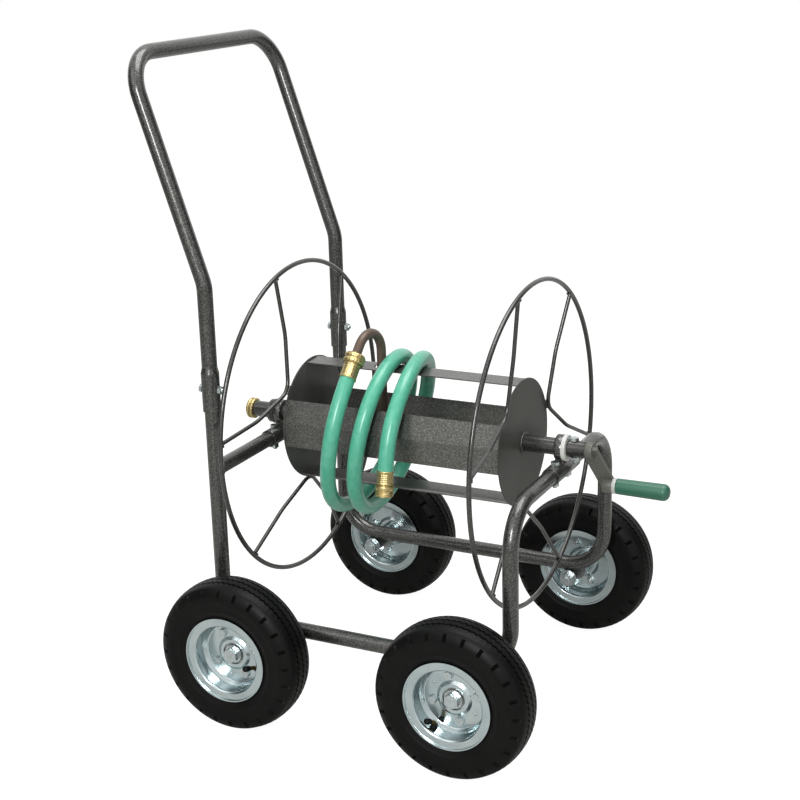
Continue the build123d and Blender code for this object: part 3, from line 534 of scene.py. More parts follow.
def arc_points(first: tuple[float, float], middle: tuple[float, float], last: tuple[float, float],
               count: int) -> list[tuple[float, float]]:
    """Points along the arc through three points.

    Args:
        first: where the arc starts.
        middle: a point on it.
        last: where it ends.
        count: how many steps to take.

    Returns:
        count + 1 points, the ends included.
    """
    (ax, ay), (bx, by), (cx, cy) = first, middle, last
    d = 2 * (ax * (by - cy) + bx * (cy - ay) + cx * (ay - by))
    ux = ((ax * ax + ay * ay) * (by - cy) + (bx * bx + by * by) * (cy - ay)
          + (cx * cx + cy * cy) * (ay - by)) / d
    uy = ((ax * ax + ay * ay) * (cx - bx) + (bx * bx + by * by) * (ax - cx)
          + (cx * cx + cy * cy) * (bx - ax)) / d
    radius = ((ax - ux) ** 2 + (ay - uy) ** 2) ** 0.5
    start, through, end = (atan2(y - uy, x - ux) for x, y in (first, middle, last))
    sweep = (end - start) % tau
    if (through - start) % tau > sweep:
        sweep -= tau
    return [
        (ux + radius * cos(start + sweep * k / count), uy + radius * sin(start + sweep * k / count))
        for k in range(count + 1)
    ]


# ---------------------------------------------------------------- studio
class SoftBox(NamedTuple):
    """A soft light: its name, where it hangs, its width and height, and its watts."""

    name: str
    at: tuple[float, float, float]
    size: tuple[float, float]
    power: float


@dataclass
class Studio:
    """Camera, pale floor, soft lights and the white surroundings."""

    camera_at: tuple[float, float, float] = (0.95795, -1.9795, 1.1155)
    camera_aim: tuple[float, float, float] = (-0.42925, 0.85414, -0.29357)
    camera_roll: float = -0.0274
    lens: float = 70.85
    sensor: float = 36.0
    far_clip: float = 60.0
    ambient: float = 0.34
    floor_size: float = 12.0
    floor_height: float = -0.0005       # just under the tyres
    floor_colour: str = "#cfcfcc"
    floor_glow: float = 1.56            # seen by the camera, with the share below, as white
    floor_glow_share: float = 0.6       # the rest of the floor keeps the cart's shadow
    card_colour: str = "#484848"
    card_size: float = 2.1
    card_aim_height: float = 0.5
    card_places: tuple[tuple[float, float, float], ...] = ((-3.3, -1.7, 0.9), (3.2, 1.7, 0.9))
    light_aim_height: float = 0.45
    soft_boxes: tuple[SoftBox, ...] = (
        SoftBox("key_softbox", (0.6, -2.7, 1.75), (0.5, 1.1), 56.0),
        SoftBox("fill_softbox", (-1.3, -2.2, 2.8), (1.8, 1.8), 13.0),
        SoftBox("top_softbox", (0.3, 0.3, 3.2), (2.0, 2.0), 68.0),
    )

    def build_camera(self) -> bpy.types.Object:
        """Place the camera and make it the scene's own.

        Returns:
            The camera.
        """
        data = bpy.data.cameras.new("camera")
        data.lens = self.lens
        data.sensor_width = self.sensor
        data.clip_end = self.far_clip
        camera = bpy.data.objects.new("camera", data)
        aim = Vector(self.camera_aim).normalized()
        level = aim.cross(Vector((0, 0, 1))).normalized()
        rise = level.cross(aim)
        right = level * cos(self.camera_roll) + rise * sin(self.camera_roll)
        up = rise * cos(self.camera_roll) - level * sin(self.camera_roll)
        turn = Matrix((right, up, -aim)).transposed().to_4x4()
        camera.matrix_world = Matrix.Translation(Vector(self.camera_at)) @ turn
        bpy.context.scene.collection.objects.link(camera)
        bpy.context.scene.camera = camera
        return camera

    def build_world(self) -> None:
        """Light evenly from all round, and show plain white behind the cart."""
        world = bpy.data.worlds.new("white_studio")
        bpy.context.scene.world = world
        world.use_nodes = True
        tree = world.node_tree
        tree.nodes.clear()
        ray = add_node(tree, "ShaderNodeLightPath", {})
        seen = ray.outputs["Is Camera Ray"]
        for kind in ("Is Glossy Ray", "Is Transmission Ray"):
            seen = add_node(
                tree, "ShaderNodeMath", {0: seen, 1: ray.outputs[kind]}, operation="MAXIMUM"
            ).outputs[0]
        light = add_node(
            tree, "ShaderNodeBackground", {"Color": WHITE, "Strength": self.ambient}
        )
        backdrop = add_node(tree, "ShaderNodeBackground", {"Color": WHITE, "Strength": 1.0})
        both = add_node(
            tree, "ShaderNodeMixShader", {0: seen, 1: light.outputs[0], 2: backdrop.outputs[0]}
        )
        add_node(tree, "ShaderNodeOutputWorld", {"Surface": both.outputs[0]})

    def build_floor(self) -> None:
        """Lay a pale floor that keeps the cart's soft shadow."""
        mesh = bmesh.new()
        bmesh.ops.create_grid(mesh, x_segments=4, y_segments=4, size=self.floor_size / 2)
        data = bpy.data.meshes.new("floor")
        mesh.to_mesh(data)
        mesh.free()
        floor = bpy.data.objects.new("floor", data)
        floor.location.z = self.floor_height
        bpy.context.scene.collection.objects.link(floor)
        made = blank_material("white_floor")
        tree = made.node_tree
        ray = add_node(tree, "ShaderNodeLightPath", {})
        share = add_node(
            tree, "ShaderNodeMath", {0: ray.outputs["Is Camera Ray"], 1: self.floor_glow_share},
            operation="MULTIPLY",
        )
        paint = add_node(tree, "ShaderNodeBsdfDiffuse", {"Color": linear(self.floor_colour)})
        glow = add_node(tree, "ShaderNodeEmission", {"Color": WHITE, "Strength": self.floor_glow})
        both = add_node(
            tree, "ShaderNodeMixShader", {0: share.outputs[0], 1: paint.outputs[0], 2: glow.outputs[0]}
        )
        add_node(tree, "ShaderNodeOutputMaterial", {"Surface": both.outputs[0]})
        floor.data.materials.append(made)

    def add_light(self, box: SoftBox) -> None:
        """Hang a soft box that faces the middle of the cart."""
        data = bpy.data.lights.new(box.name, "AREA")
        data.shape = "RECTANGLE"
        data.size, data.size_y = box.size
        data.energy = box.power
        light = bpy.data.objects.new(box.name, data)
        light.location = box.at
        light.rotation_mode = "QUATERNION"
        aim = Vector((0, 0, self.light_aim_height)) - Vector(box.at)
        light.rotation_quaternion = aim.to_track_quat("-Z", "Y")
        bpy.context.scene.collection.objects.link(light)

    def build_flags(self) -> None:
        """Stand dark cards round the set; they show only as dark bands in shiny metal."""
        made = blank_material("dark_card")
        tree = made.node_tree
        card_paint = add_node(
            tree, "ShaderNodeEmission", {"Color": linear(self.card_colour), "Strength": 1.0}
        )
        add_node(tree, "ShaderNodeOutputMaterial", {"Surface": card_paint.outputs[0]})
        for number, at in enumerate(self.card_places):
            mesh = bmesh.new()
            bmesh.ops.create_grid(mesh, x_segments=1, y_segments=1, size=self.card_size)
            data = bpy.data.meshes.new(f"dark_card_{number}")
            mesh.to_mesh(data)
            mesh.free()
            card = bpy.data.objects.new(f"dark_card_{number}", data)
            aim = Vector((0, 0, self.card_aim_height)) - Vector(at)
            card.matrix_world = axis_frame(Vector(at), aim)
            card.data.materials.append(made)
            card.visible_camera = False
            card.visible_diffuse = False
            card.visible_shadow = False
            card.visible_transmission = False
            bpy.context.scene.collection.objects.link(card)

    def build(self) -> None:
        """Build everything but the camera."""
        self.build_world()
        self.build_floor()
        self.build_flags()
        for box in self.soft_boxes:
            self.add_light(box)
        bpy.context.scene.view_settings.view_transform = "Standard"


# ---------------------------------------------------------------- hose and its fittings
@dataclass
class LeaderHose:
    """The green leader hose, two and a half loose turns round the drum."""

    diameter: float = 0.0227
    length: float = 1.614
    gooseneck_x: float = -0.053
    gooseneck_rise: float = 0.114
    gooseneck_radius: float = 0.033
    gooseneck_sweep: float = 140.0
    gooseneck_yaw: float = 5.0
    tail_run: float = 0.0235        # from the arch to the end of the pipe
    nut_overhang: float = 0.0065    # from the end of the pipe to the lip of the nut
    ferrule_length: float = 0.023
    coil_radius: float = 0.1147
    coil_sag: float = 0.0109
    coil_pitch: float = 0.0371
    coil_start: float = -0.0953
    coil_sway: float = 0.0291
    coil_lean: float = -0.0007
    coil_lean_growth: float = 0.0084
    coil_lead_in: float = 0.075
    coil_lead_in_x: float = 0.048
    lead_out: float = 0.05          # straight run out of the ferrule
    last_points: tuple[tuple[float, float, float], ...] = ((0.0135, -0.121, 0.404), (0.013, -0.126, 0.372))
    nut_play: float = 0.2 * MM
    points_per_turn: int = 12
    first_step: int = 3
    last_step: int = 26

    def tail_direction(self) -> Vector:
        """The way the pipe points where the nut is."""
        fall = radians(90 - self.gooseneck_sweep)
        yaw = radians(self.gooseneck_yaw)
        return Vector((-sin(yaw) * cos(fall), -cos(yaw) * cos(fall), sin(fall)))

    def pipe_end(self) -> Vector:
        """The end of the pipe, inside the nut."""
        bend = radians(180 - self.gooseneck_sweep)
        out = self.gooseneck_radius * (1 + cos(bend))
        rise = self.gooseneck_rise + self.gooseneck_radius * sin(bend)
        yaw = radians(self.gooseneck_yaw)
        arch_end = Vector((
            self.gooseneck_x + ALONG_X - out * sin(yaw), -out * cos(yaw), REEL_AXIS_HEIGHT + rise,
        ))
        return arch_end + self.tail_direction() * self.tail_run

    def start(self) -> Vector:
        """Where the hose comes out of its ferrule."""
        reach = self.nut_overhang + self.nut_play + self.ferrule_length
        return self.pipe_end() + self.tail_direction() * reach

    def route(self) -> list[Vector]:
        """The points that the hose follows.

        Returns:
            The lead out of the ferrule, the turns, and the last run down to the coupling.
        """
        start = self.start()
        points = [start, start + self.tail_direction() * self.lead_out]
        for step in range(self.first_step, self.last_step + 1):
            turns = step / self.points_per_turn
            angle = tau * turns
            lead_in = max(0.0, 1 - 2 * turns) ** 2
            radius = (self.coil_radius + self.coil_lead_in * lead_in) / cos(pi / self.points_per_turn)
            points.append(Vector((
                self.coil_start + ALONG_X + self.coil_pitch * turns + self.coil_sway * cos(angle)
                + (self.coil_lean + self.coil_lean_growth * turns) * sin(angle)
                + self.coil_lead_in_x * lead_in,
                -radius * sin(angle),
                REEL_AXIS_HEIGHT - self.coil_sag + radius * cos(angle),
            )))
        points += [Vector((x + ALONG_X, y, z)) for x, y, z in self.last_points]
        return points

    def build(self, fittings: list[bpy.types.Object]) -> bpy.types.Object:
        """Args:
            fittings: the ferrule and the coupling; not used.

        Returns:
            The hose.
        """
        route = self.route()
        data = bpy.data.curves.new("leader_hose_skin", "CURVE")
        data.dimensions = "3D"
        data.resolution_u = 12
        data.bevel_depth = self.diameter / 2
        data.bevel_resolution = 10
        data.use_fill_caps = True
        spline = data.splines.new("NURBS")
        spline.points.add(len(route) - 1)
        for point, place in zip(spline.points, route):
            point.co = (*place, 1.0)
        spline.order_u = 3
        spline.use_endpoint_u = True
        hose = bpy.data.objects.new("leader_hose_skin", data)
        bpy.context.scene.collection.objects.link(hose)
        Paint.HOSE.put_on(hose)
        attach(hose, "reel")
        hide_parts("leader_hose")
        return hose


@dataclass
class BrassFittings:
    """Turned and crimped brass: two swivel nuts, a ferrule and the male coupling."""

    hose: LeaderHose
    thread_pitch: float = 2.209 * MM     # 11.5 threads to the inch
    thread_depth: float = 0.9 * MM
    rib_lobes: int = 20
    crimp_jaws: int = 8
    crimp_rings: int = 5
    crimp_depth: float = 0.6 * MM
    crimp_land: float = 0.35             # share of the depth left between two rings
    crimp_margin: float = 3.0 * MM       # smooth shell before the first ring
    rolled_end: float = 1.8 * MM         # length of a shell's rolled end
    lobe_depth: float = 0.35 * MM
    hose_bore: float = 10.4 * MM
    thread_bore: float = 26.2 * MM
    nut_lip: float = 1.8 * MM
    nut_rib: float = 1.7 * MM            # height of a rolled rib
    ferrule_outer: float = 25.4 * MM
    coupling_outer: float = 24.6 * MM
    coupling_shell: float = 19.0 * MM    # length of the coupling's crimped shell
    neck_radius: float = 10.4 * MM       # between that shell and the collar
    collar_radius: float = 13.45 * MM
    male_thread_radius: float = 13.15 * MM
    male_thread_start: float = 27.8 * MM
    male_thread_end: float = 36.2 * MM
    male_tip: float = 37.0 * MM
    inlet_face: float = -0.2722          # outer end of the shaft, where the inlet nut starts
    segments: int = 160

    def thread(self, height: float, angle: float) -> float:
        """Depth of a helical thread, from 0 to 1, at a height and angle."""
        turn = (height / self.thread_pitch - angle / tau) % 1.0
        return 1.0 - abs(2 * turn - 1)

    def nut(self, name: str, node: str, body: str, place: Matrix, outer: float, length: float,
            lip_hole: float) -> bpy.types.Object:
        """A round nut with two rolled ribs, notched for the fingers, and a thread inside.

        Args:
            name: the piece's name.
            node: the CAD node it stands for.
            body: the body it rides on.
            place: its lip end, with local +Z toward its mouth.
            outer: diameter over the ribs.
            length: length along the axis.
            lip_hole: diameter of the hole in the lip.

        Returns:
            The nut.
        """
        edge = outer / 2 - self.nut_rib
        bore, lip = self.thread_bore, self.nut_lip
        profile: Profile = [(lip_hole / 2, 0.0), (edge - 0.8 * MM, 0.0), (edge, 0.5 * MM)]
        for start, end in ((0.04, 0.48), (0.52, 0.96)):
            profile += arc_points(
                (edge, start * length), (outer / 2 - 0.05 * MM, (start + end) / 2 * length),
                (edge, end * length), 10,
            )
        profile += [(edge - 0.6 * MM, length), (bore / 2 + 0.5 * MM, length)]
        steps = int((length - lip) / (self.thread_pitch / 6))
        for step in range(steps + 1):
            height = length - 0.4 * MM - (length - lip - 0.8 * MM) * step / steps
            profile.append((bore / 2, height))
        profile.append((bore / 2, lip))
        profile.append((lip_hole / 2, lip))

        def relief(radius: float, height: float, angle: float) -> float:
            """Finger notches outside, thread inside."""
            if radius > edge + 0.1 * MM:
                return -self.lobe_depth * max(0.0, cos(self.rib_lobes * angle)) ** 2
            if abs(radius - bore / 2) < 1e-6 and lip < height < length - 0.5 * MM:
                return self.thread_depth * 0.6 * self.thread(height, angle)
            return 0.0

        mesh = bmesh.new()
        add_lathe(mesh, profile, place, 168, relief)
        piece = finished_object(name, mesh, Paint.BRASS, body)
        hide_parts(node)
        return piece

    def crimp(self, height: float, start: float, end: float, angle: float) -> float:
        """Depth of the jaw marks of a crimped shell, at a height and angle.

        Args:
            height: height along the shell.
            start: where the crimped part starts.
            end: where it ends.
            angle: angle round the shell.

        Returns:
            How far the surface is pressed in, in metres.
        """
        if not start < height < end:
            return 0.0
        share = (height - start) / (end - start) * self.crimp_rings
        ring = sin(pi * share) ** 2
        jaw = min(1.0, 2.2 * abs(sin(self.crimp_jaws * angle / 2)))
        return self.crimp_depth * jaw * (self.crimp_land + (1 - self.crimp_land) * ring)

    def shell(self, outer: float, inner: float, length: float) -> Profile:
        """Outline of a crimped shell with rolled ends, without its jaw marks."""
        rim, wall, roll = outer / 2 - 0.7 * MM, outer / 2 - 0.5 * MM, self.rolled_end
        profile: Profile = [(inner / 2, 0.0), (outer / 2 - 0.9 * MM, 0.0)]
        profile += arc_points((rim, 0.0), (outer / 2, roll / 2), (wall, roll), 5)
        steps = 36
        for step in range(1, steps):
            profile.append((wall, roll + (length - 2 * roll) * step / steps))
        profile += arc_points((wall, length - roll), (outer / 2, length - roll / 2), (rim, length), 5)
        profile.append((inner / 2, length))
        return profile

    def build_ferrule(self) -> bpy.types.Object:
        """The crimped ferrule between the outlet nut and the hose."""
        way = self.hose.tail_direction()
        seat = self.hose.start() - way * self.hose.ferrule_length
        length = self.hose.ferrule_length

        def relief(radius: float, height: float, angle: float) -> float:
            """Jaw marks on the outside only."""
            pressed = self.crimp(height, self.crimp_margin, length - self.crimp_margin, angle)
            return -pressed if radius > self.neck_radius else 0.0

        mesh = bmesh.new()
        shell = self.shell(self.ferrule_outer, self.hose_bore, length)
        add_lathe(mesh, shell, axis_frame(seat, way), self.segments, relief)
        piece = finished_object("hose_ferrule_crimped", mesh, Paint.BRASS, "reel")
        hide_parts("hose_ferrule")
        return piece

    def build_coupling(self) -> bpy.types.Object:
        """The male coupling: crimped shell, collar and a threaded end."""
        route = self.hose.route()
        way = (route[-1] - route[-2]).normalized()
        shell_end, bore_radius = self.coupling_shell, self.hose_bore / 2
        neck, collar, outside = self.neck_radius, self.collar_radius, self.male_thread_radius
        profile = self.shell(self.coupling_outer, self.hose_bore, shell_end)[:-1]
        profile += [(neck, shell_end + 0.6 * MM), (neck, shell_end + 2.0 * MM),
                    (collar - 0.45 * MM, shell_end + 2.5 * MM)]
        profile += arc_points(
            (collar - 0.15 * MM, shell_end + 3.0 * MM), (collar, shell_end + 5.5 * MM),
            (collar - 0.25 * MM, shell_end + 8.0 * MM), 6,
        )
        thread_length = self.male_thread_end - self.male_thread_start
        steps = 30
        for step in range(steps + 1):
            profile.append((outside, self.male_thread_start + thread_length * step / steps))
        profile += [(outside - 0.95 * MM, self.male_tip), (bore_radius + 2.4 * MM, self.male_tip),
                    (bore_radius, self.male_thread_end), (bore_radius, 0.0)]

        def relief(radius: float, height: float, angle: float) -> float:
            """Jaw marks on the shell and a thread on the end."""
            if abs(radius - outside) < 1e-6:
                return -self.thread_depth * (1 - self.thread(height, angle))
            if radius > neck and height < shell_end:
                return -self.crimp(height, self.crimp_margin, shell_end - 2.0 * MM, angle)
            return 0.0

        mesh = bmesh.new()
        add_lathe(mesh, profile, axis_frame(route[-1], way), self.segments, relief)
        piece = finished_object("male_coupling_turned", mesh, Paint.BRASS, "reel")
        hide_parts("male_coupling")
        return piece

    def build_nuts(self) -> None:
        """The inlet nut on the shaft and the outlet nut on the pipe."""
        seat = Vector((self.inlet_face + ALONG_X, 0, REEL_AXIS_HEIGHT))
        inlet = axis_frame(seat, Vector((-1, 0, 0)))
        self.nut("inlet_nut_ribbed", "inlet_swivel", "inlet_nut", inlet, 32 * MM, 12 * MM, 20.6 * MM)
        way = self.hose.tail_direction()
        lip = self.hose.pipe_end() + way * self.hose.nut_overhang
        outlet = axis_frame(lip, -way)
        self.nut("outlet_nut_ribbed", "outlet_swivel", "reel", outlet, 31 * MM, 15 * MM, 17.0 * MM)


# ---------------------------------------------------------------- wheels
class SectionPoint(NamedTuple):
    """A point of the tyre's section, and how the tread pattern moves it."""

    radius: float
    width: float
    zigzag: float = 0.0
    slot: float = 0.0


@dataclass
class Tyre:
    """A ribbed tyre: zigzag grooves round the crown and lugs on the shoulders."""

    radius: float = 0.1125
    half_width: float = 0.0315
    bead_radius: float = 0.0517
    bead_face: float = 0.0262
    groove_places: tuple[float, ...] = (-0.0115, 0.0, 0.0115)
    groove_width: float = 0.0034
    groove_depth: float = 0.0028
    zigzag_teeth: int = 80
    zigzag_reach: float = 0.0013
    lug_count: int = 24
    lug_top: float = 0.1045
    lug_foot: float = 0.0945
    lug_depth: float = 0.0019
    steps_per_lug: int = 20
    slot_steps: tuple[float, ...] = (0.0, 1.0, 0.0, 1.0, 0.0)    # two fine grooves between lugs
    crown_share: float = 0.74       # of the width, before the shoulders begin
    crown_drop: float = 0.0042
    widest_drop: float = 0.029      # from the crown in to the widest place
    heart_radius: float = 0.084     # the lug grooves are cut toward the middle of the air space
    ridge: tuple[float, float, float] = (0.0735, 0.0765, 0.0007)    # from, to and height

    def crown_radius(self, width: float) -> float:
        """Radius of the crown at a distance from the middle."""
        share = abs(width) / (self.crown_share * self.half_width)
        return self.radius - self.crown_drop * share ** 2.2

    def half_section(self) -> list[SectionPoint]:
        """Section from the middle of the crown out to the bead, on the outboard side."""
        section: list[SectionPoint] = []
        for place in (0.0, self.groove_places[-1]):
            half = self.groove_width / 2
            edges = ((-half, 0.0), (-half * 0.72, self.groove_depth), (half * 0.72, self.groove_depth),
                     (half, 0.0))
            for offset, depth in edges:
                if place == 0.0 and offset < 0:
                    continue
                width = place + offset
                section.append(SectionPoint(self.crown_radius(width) - depth, width, 1.0))
            if place == 0.0:
                section.append(SectionPoint(self.crown_radius(0.0058), 0.0058, 0.5))
        edge = self.crown_share * self.half_width
        widest = (self.radius - self.widest_drop, self.half_width)
        section.append(SectionPoint(self.crown_radius(0.0175), 0.0175))
        shoulder = arc_points(
            (self.crown_radius(edge), edge), (self.radius - 0.0115, 0.925 * self.half_width), widest, 20,
        )
        for (radius, width), (radius_after, _) in zip(shoulder, shoulder[1:] + shoulder[-1:]):
            lug = 1.0 if self.lug_foot < radius < self.lug_top else 0.0
            section.append(SectionPoint(radius, width, 0.0, lug))
            if radius > self.lug_foot >= radius_after:
                section.append(SectionPoint(self.lug_foot - 0.0002, width + 0.0002))
                section.append(SectionPoint(self.lug_foot - 0.0012, width - 0.0006))
        side = arc_points(
            widest, (self.bead_radius + 0.020, 0.96 * self.half_width),
            (self.bead_radius + 0.013, self.bead_face + 0.0012), 14,
        )
        ridge_foot, ridge_top, ridge_height = self.ridge
        for radius, width in side[1:]:
            raised = ridge_height if ridge_foot < radius < ridge_top else 0.0
            section.append(SectionPoint(radius, width + raised))
        section.append(SectionPoint(self.bead_radius + 0.0105, self.bead_face))
        section.append(SectionPoint(self.bead_radius + 0.0015, self.bead_face))
        section.append(SectionPoint(self.bead_radius + 0.0002, self.bead_face - 0.0020))
        section.append(SectionPoint(self.bead_radius + 0.0002, self.bead_face - 0.0075))
        return section

    def full_section(self) -> list[SectionPoint]:
        """The whole section, from the inboard bead over the crown to the outboard bead."""
        outboard = self.half_section()
        inboard = [
            SectionPoint(p.radius, -p.width, p.zigzag, p.slot) for p in reversed(outboard)
        ]
        return inboard + outboard

    def zigzag_at(self, step: int, steps: int) -> float:
        """How far the zigzag edges stand off at an angular step, from -1 to 1."""
        tooth = (step * self.zigzag_teeth / steps) % 1.0
        return 1 - 4 * abs(tooth - 0.5)

    def slot_at(self, step: int) -> float:
        """How deep the gap between two lugs is at an angular step, from 0 to 1."""
        place = step % self.steps_per_lug
        return self.slot_steps[place] if place < len(self.slot_steps) else 0.0

    def build(self, corner: str, place: Matrix) -> bpy.types.Object:
        """Build the tyre of one corner.

        Args:
            corner: the corner's name.
            place: its wheel's placement, local +Z outboard.

        Returns:
            The tyre.
        """
        section = self.full_section()
        steps = self.lug_count * self.steps_per_lug
        heart = Vector((self.heart_radius, 0.0))
        mesh = bmesh.new()
        rings = []
        for step in range(steps):
            angle = tau * step / steps
            zigzag = self.zigzag_at(step, steps) * self.zigzag_reach
            slot = self.slot_at(step) * self.lug_depth
            ring = []
            for point in section:
                spot = Vector((point.radius, point.width + zigzag * point.zigzag))
                if point.slot:
                    spot += (heart - spot).normalized() * slot * point.slot
                ring.append(mesh.verts.new(
                    place @ Vector((spot.x * cos(angle), spot.x * sin(angle), spot.y))
                ))
            rings.append(ring)
        add_skin(mesh, rings)
        tyre = finished_object(f"{corner}_tyre_tread", mesh, Paint.TYRE, f"{corner}_wheel", 35.0)
        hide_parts(f"{corner}_tyre")
        return tyre


@dataclass
class ValveStem:
    """A bent brass valve stem in a rubber grommet, with a ribbed black cap.

    The stem can turn in its grommet, so each wheel's leans its own way.
    """

    foot: float = 0.054
    knee: float = 0.042
    knee_height: float = 0.015
    tip: float = 0.038
    tip_height: float = 0.027
    stem_radius: float = 0.0030
    cap_radius: float = 0.0042
    cap_length: float = 0.009
    cap_ribs: int = 18
    cap_rib_height: float = 0.00022
    cap_overlap: float = 0.0015     # how far the cap is screwed on past the tip
    grommet_radius: float = 0.0052
    grommet_seat: float = 0.0492    # radius of the barrel's inside
    grommet_height: float = 0.0062
    core: float = 0.0008            # radius at which the turned pieces close

    def build(self, corner: str, place: Matrix, lean: float) -> None:
        """Build the stem, grommet and cap of one corner.

        Args:
            corner: the corner's name.
            place: its wheel's placement, local +Z outboard.
            lean: how far the tip stands aside of the foot, in metres.
        """
        out = Vector((cos(pi / 4), sin(pi / 4), 0))
        aside = Vector((-sin(pi / 4), cos(pi / 4), 0))
        foot = out * self.foot + Vector((0, 0, self.knee_height))
        knee = out * self.knee + Vector((0, 0, self.knee_height)) + aside * lean * 0.25
        tip = out * self.tip + Vector((0, 0, self.tip_height)) + aside * lean
        path = [foot, foot.lerp(knee, 0.6)]
        for share in (0.2, 0.4, 0.6, 0.8):
            start, end = foot.lerp(knee, 0.72), knee.lerp(tip, 0.3)
            path.append(start.lerp(knee, share).lerp(knee.lerp(end, share), share))
        path += [knee.lerp(tip, 0.4), tip]
        radii = [self.stem_radius] * len(path)
        radii[0] = self.stem_radius * 1.25
        mesh = bmesh.new()
        add_rope(mesh, [place @ point for point in path], radii, False, 20)
        body = f"{corner}_wheel"
        stem = finished_object(f"{corner}_valve_stem_bent", mesh, Paint.VALVE_STEM, body)
        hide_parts(f"{corner}_valve_stem")
        wide, top = self.grommet_radius, self.grommet_height
        ring: Profile = [
            (self.core, 0.0), (wide, 0.0), (wide, 0.0016), (wide * 0.8, 0.0034), (wide * 0.66, top),
            (self.core, top),
        ]
        seat = out * self.grommet_seat + Vector((0, 0, self.knee_height))
        mesh = bmesh.new()
        add_lathe(mesh, ring, place @ axis_frame(seat, -out), 48)
        grommet = finished_object(f"{corner}_valve_grommet", mesh, Paint.CAP, body)
        way = (tip - knee).normalized()
        cap_place = place @ axis_frame(tip - way * self.cap_overlap, way)
        profile: Profile = [(0.0006, 0.0), (self.cap_radius, 0.0), (self.cap_radius, 0.0068)]
        profile += arc_points(
            (self.cap_radius, 0.0072), (self.cap_radius * 0.86, 0.0092),
            (self.cap_radius * 0.5, self.cap_length + 0.0012), 6,
        )
        profile.append((0.0006, self.cap_length + 0.0013))

        def ribs(radius: float, height: float, angle: float) -> float:
            """Fine ribs that give a grip on the cap."""
            rib = self.cap_rib_height * (1 - cos(self.cap_ribs * angle))
            return -rib if radius > 0.004 and height < 0.007 else 0.0

        mesh = bmesh.new()
        add_lathe(mesh, profile, cap_place, 108, ribs)
        cap = finished_object(f"{corner}_valve_cap", mesh, Paint.CAP, body)


@dataclass
class Wheels:
    """The four wheels: tyres, valves, and the finishes of their rims and hubs."""

    wheel_y: float = 0.253
    pip_circle: float = 0.0350
    pip_radius: float = 0.0021
    plate_face: float = 0.0018
    turns: dict[str, float] = field(default_factory=lambda: {
        "near_front": -166.0, "near_rear": -59.0, "far_front": 20.0, "far_rear": 75.0,
    })
    valve_leans: dict[str, float] = field(default_factory=lambda: {
        "near_front": -0.008, "near_rear": 0.003, "far_front": -0.004, "far_rear": 0.005,
    })

    def place(self, corner: str) -> Matrix:
        """Placement of a corner's wheel, local +Z outboard and local +X its first spoke."""
        side = -1 if corner.startswith("near") else 1
        end = 1 if corner.endswith("front") else -1
        turn = radians(self.turns[corner])
        spoke = Vector((cos(turn), 0, sin(turn)))
        out = Vector((0, side, 0))
        across = out.cross(spoke)
        matrix = Matrix((spoke, across, out)).transposed().to_4x4()
        middle = Vector((end * WHEEL_X + ALONG_X, side * self.wheel_y, AXLE_HEIGHT))
        return Matrix.Translation(middle) @ matrix

    def build_pips(self, corner: str, place: Matrix) -> None:
        """Raise the two small locating pips on the face of a rim's plate."""
        mesh = bmesh.new()
        for angle in (pi * 0.75, pi * 1.75):
            spot = Vector((self.pip_circle * cos(angle), self.pip_circle * sin(angle), self.plate_face))
            profile: Profile = [(0.0001, -0.0004), (self.pip_radius, -0.0004)]
            profile += arc_points(
                (self.pip_radius, 0.0001), (self.pip_radius * 0.72, 0.0010), (0.0001, 0.0014), 8,
            )
            add_lathe(mesh, profile, place @ Matrix.Translation(spot), 28)
        pips = finished_object(f"{corner}_rim_pips", mesh, Paint.FASTENER, f"{corner}_wheel")

    def build(self) -> None:
        """Build and finish all four."""
        for corner in self.turns:
            place = self.place(corner)
            Tyre().build(corner, place)
            ValveStem().build(corner, place, self.valve_leans[corner])
            self.build_pips(corner, place)
            for node, paint in (
                ("outer_rim", Paint.RIM), ("inner_rim", Paint.RIM), ("hub", Paint.RIM),
                ("bearings", Paint.BEARING), ("rim_fasteners", Paint.FASTENER),
            ):
                dress_node(f"{corner}_{node}", paint)
            LOG.info("%s wheel dressed", corner)


# ---------------------------------------------------------------- carried-over nodes
def dress_node(node: str, paint: Paint, bevel: float = 0.0) -> None:
    """Put a finish on a CAD node, and round its hard edges if asked.

    Args:
        node: the node's name.
        paint: its finish.
        bevel: radius of its rounded edges.
    """
    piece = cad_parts[node]
    paint.put_on(piece)
    if bevel:
        weld = piece.modifiers.new("join_seams", "WELD")
        weld.merge_threshold = 0.01 * MM
        edge = piece.modifiers.new("rounded_edges", "BEVEL")
        edge.width = bevel
        edge.segments = 2
        edge.limit_method = "ANGLE"
        edge.angle_limit = radians(38)
        edge.harden_normals = True


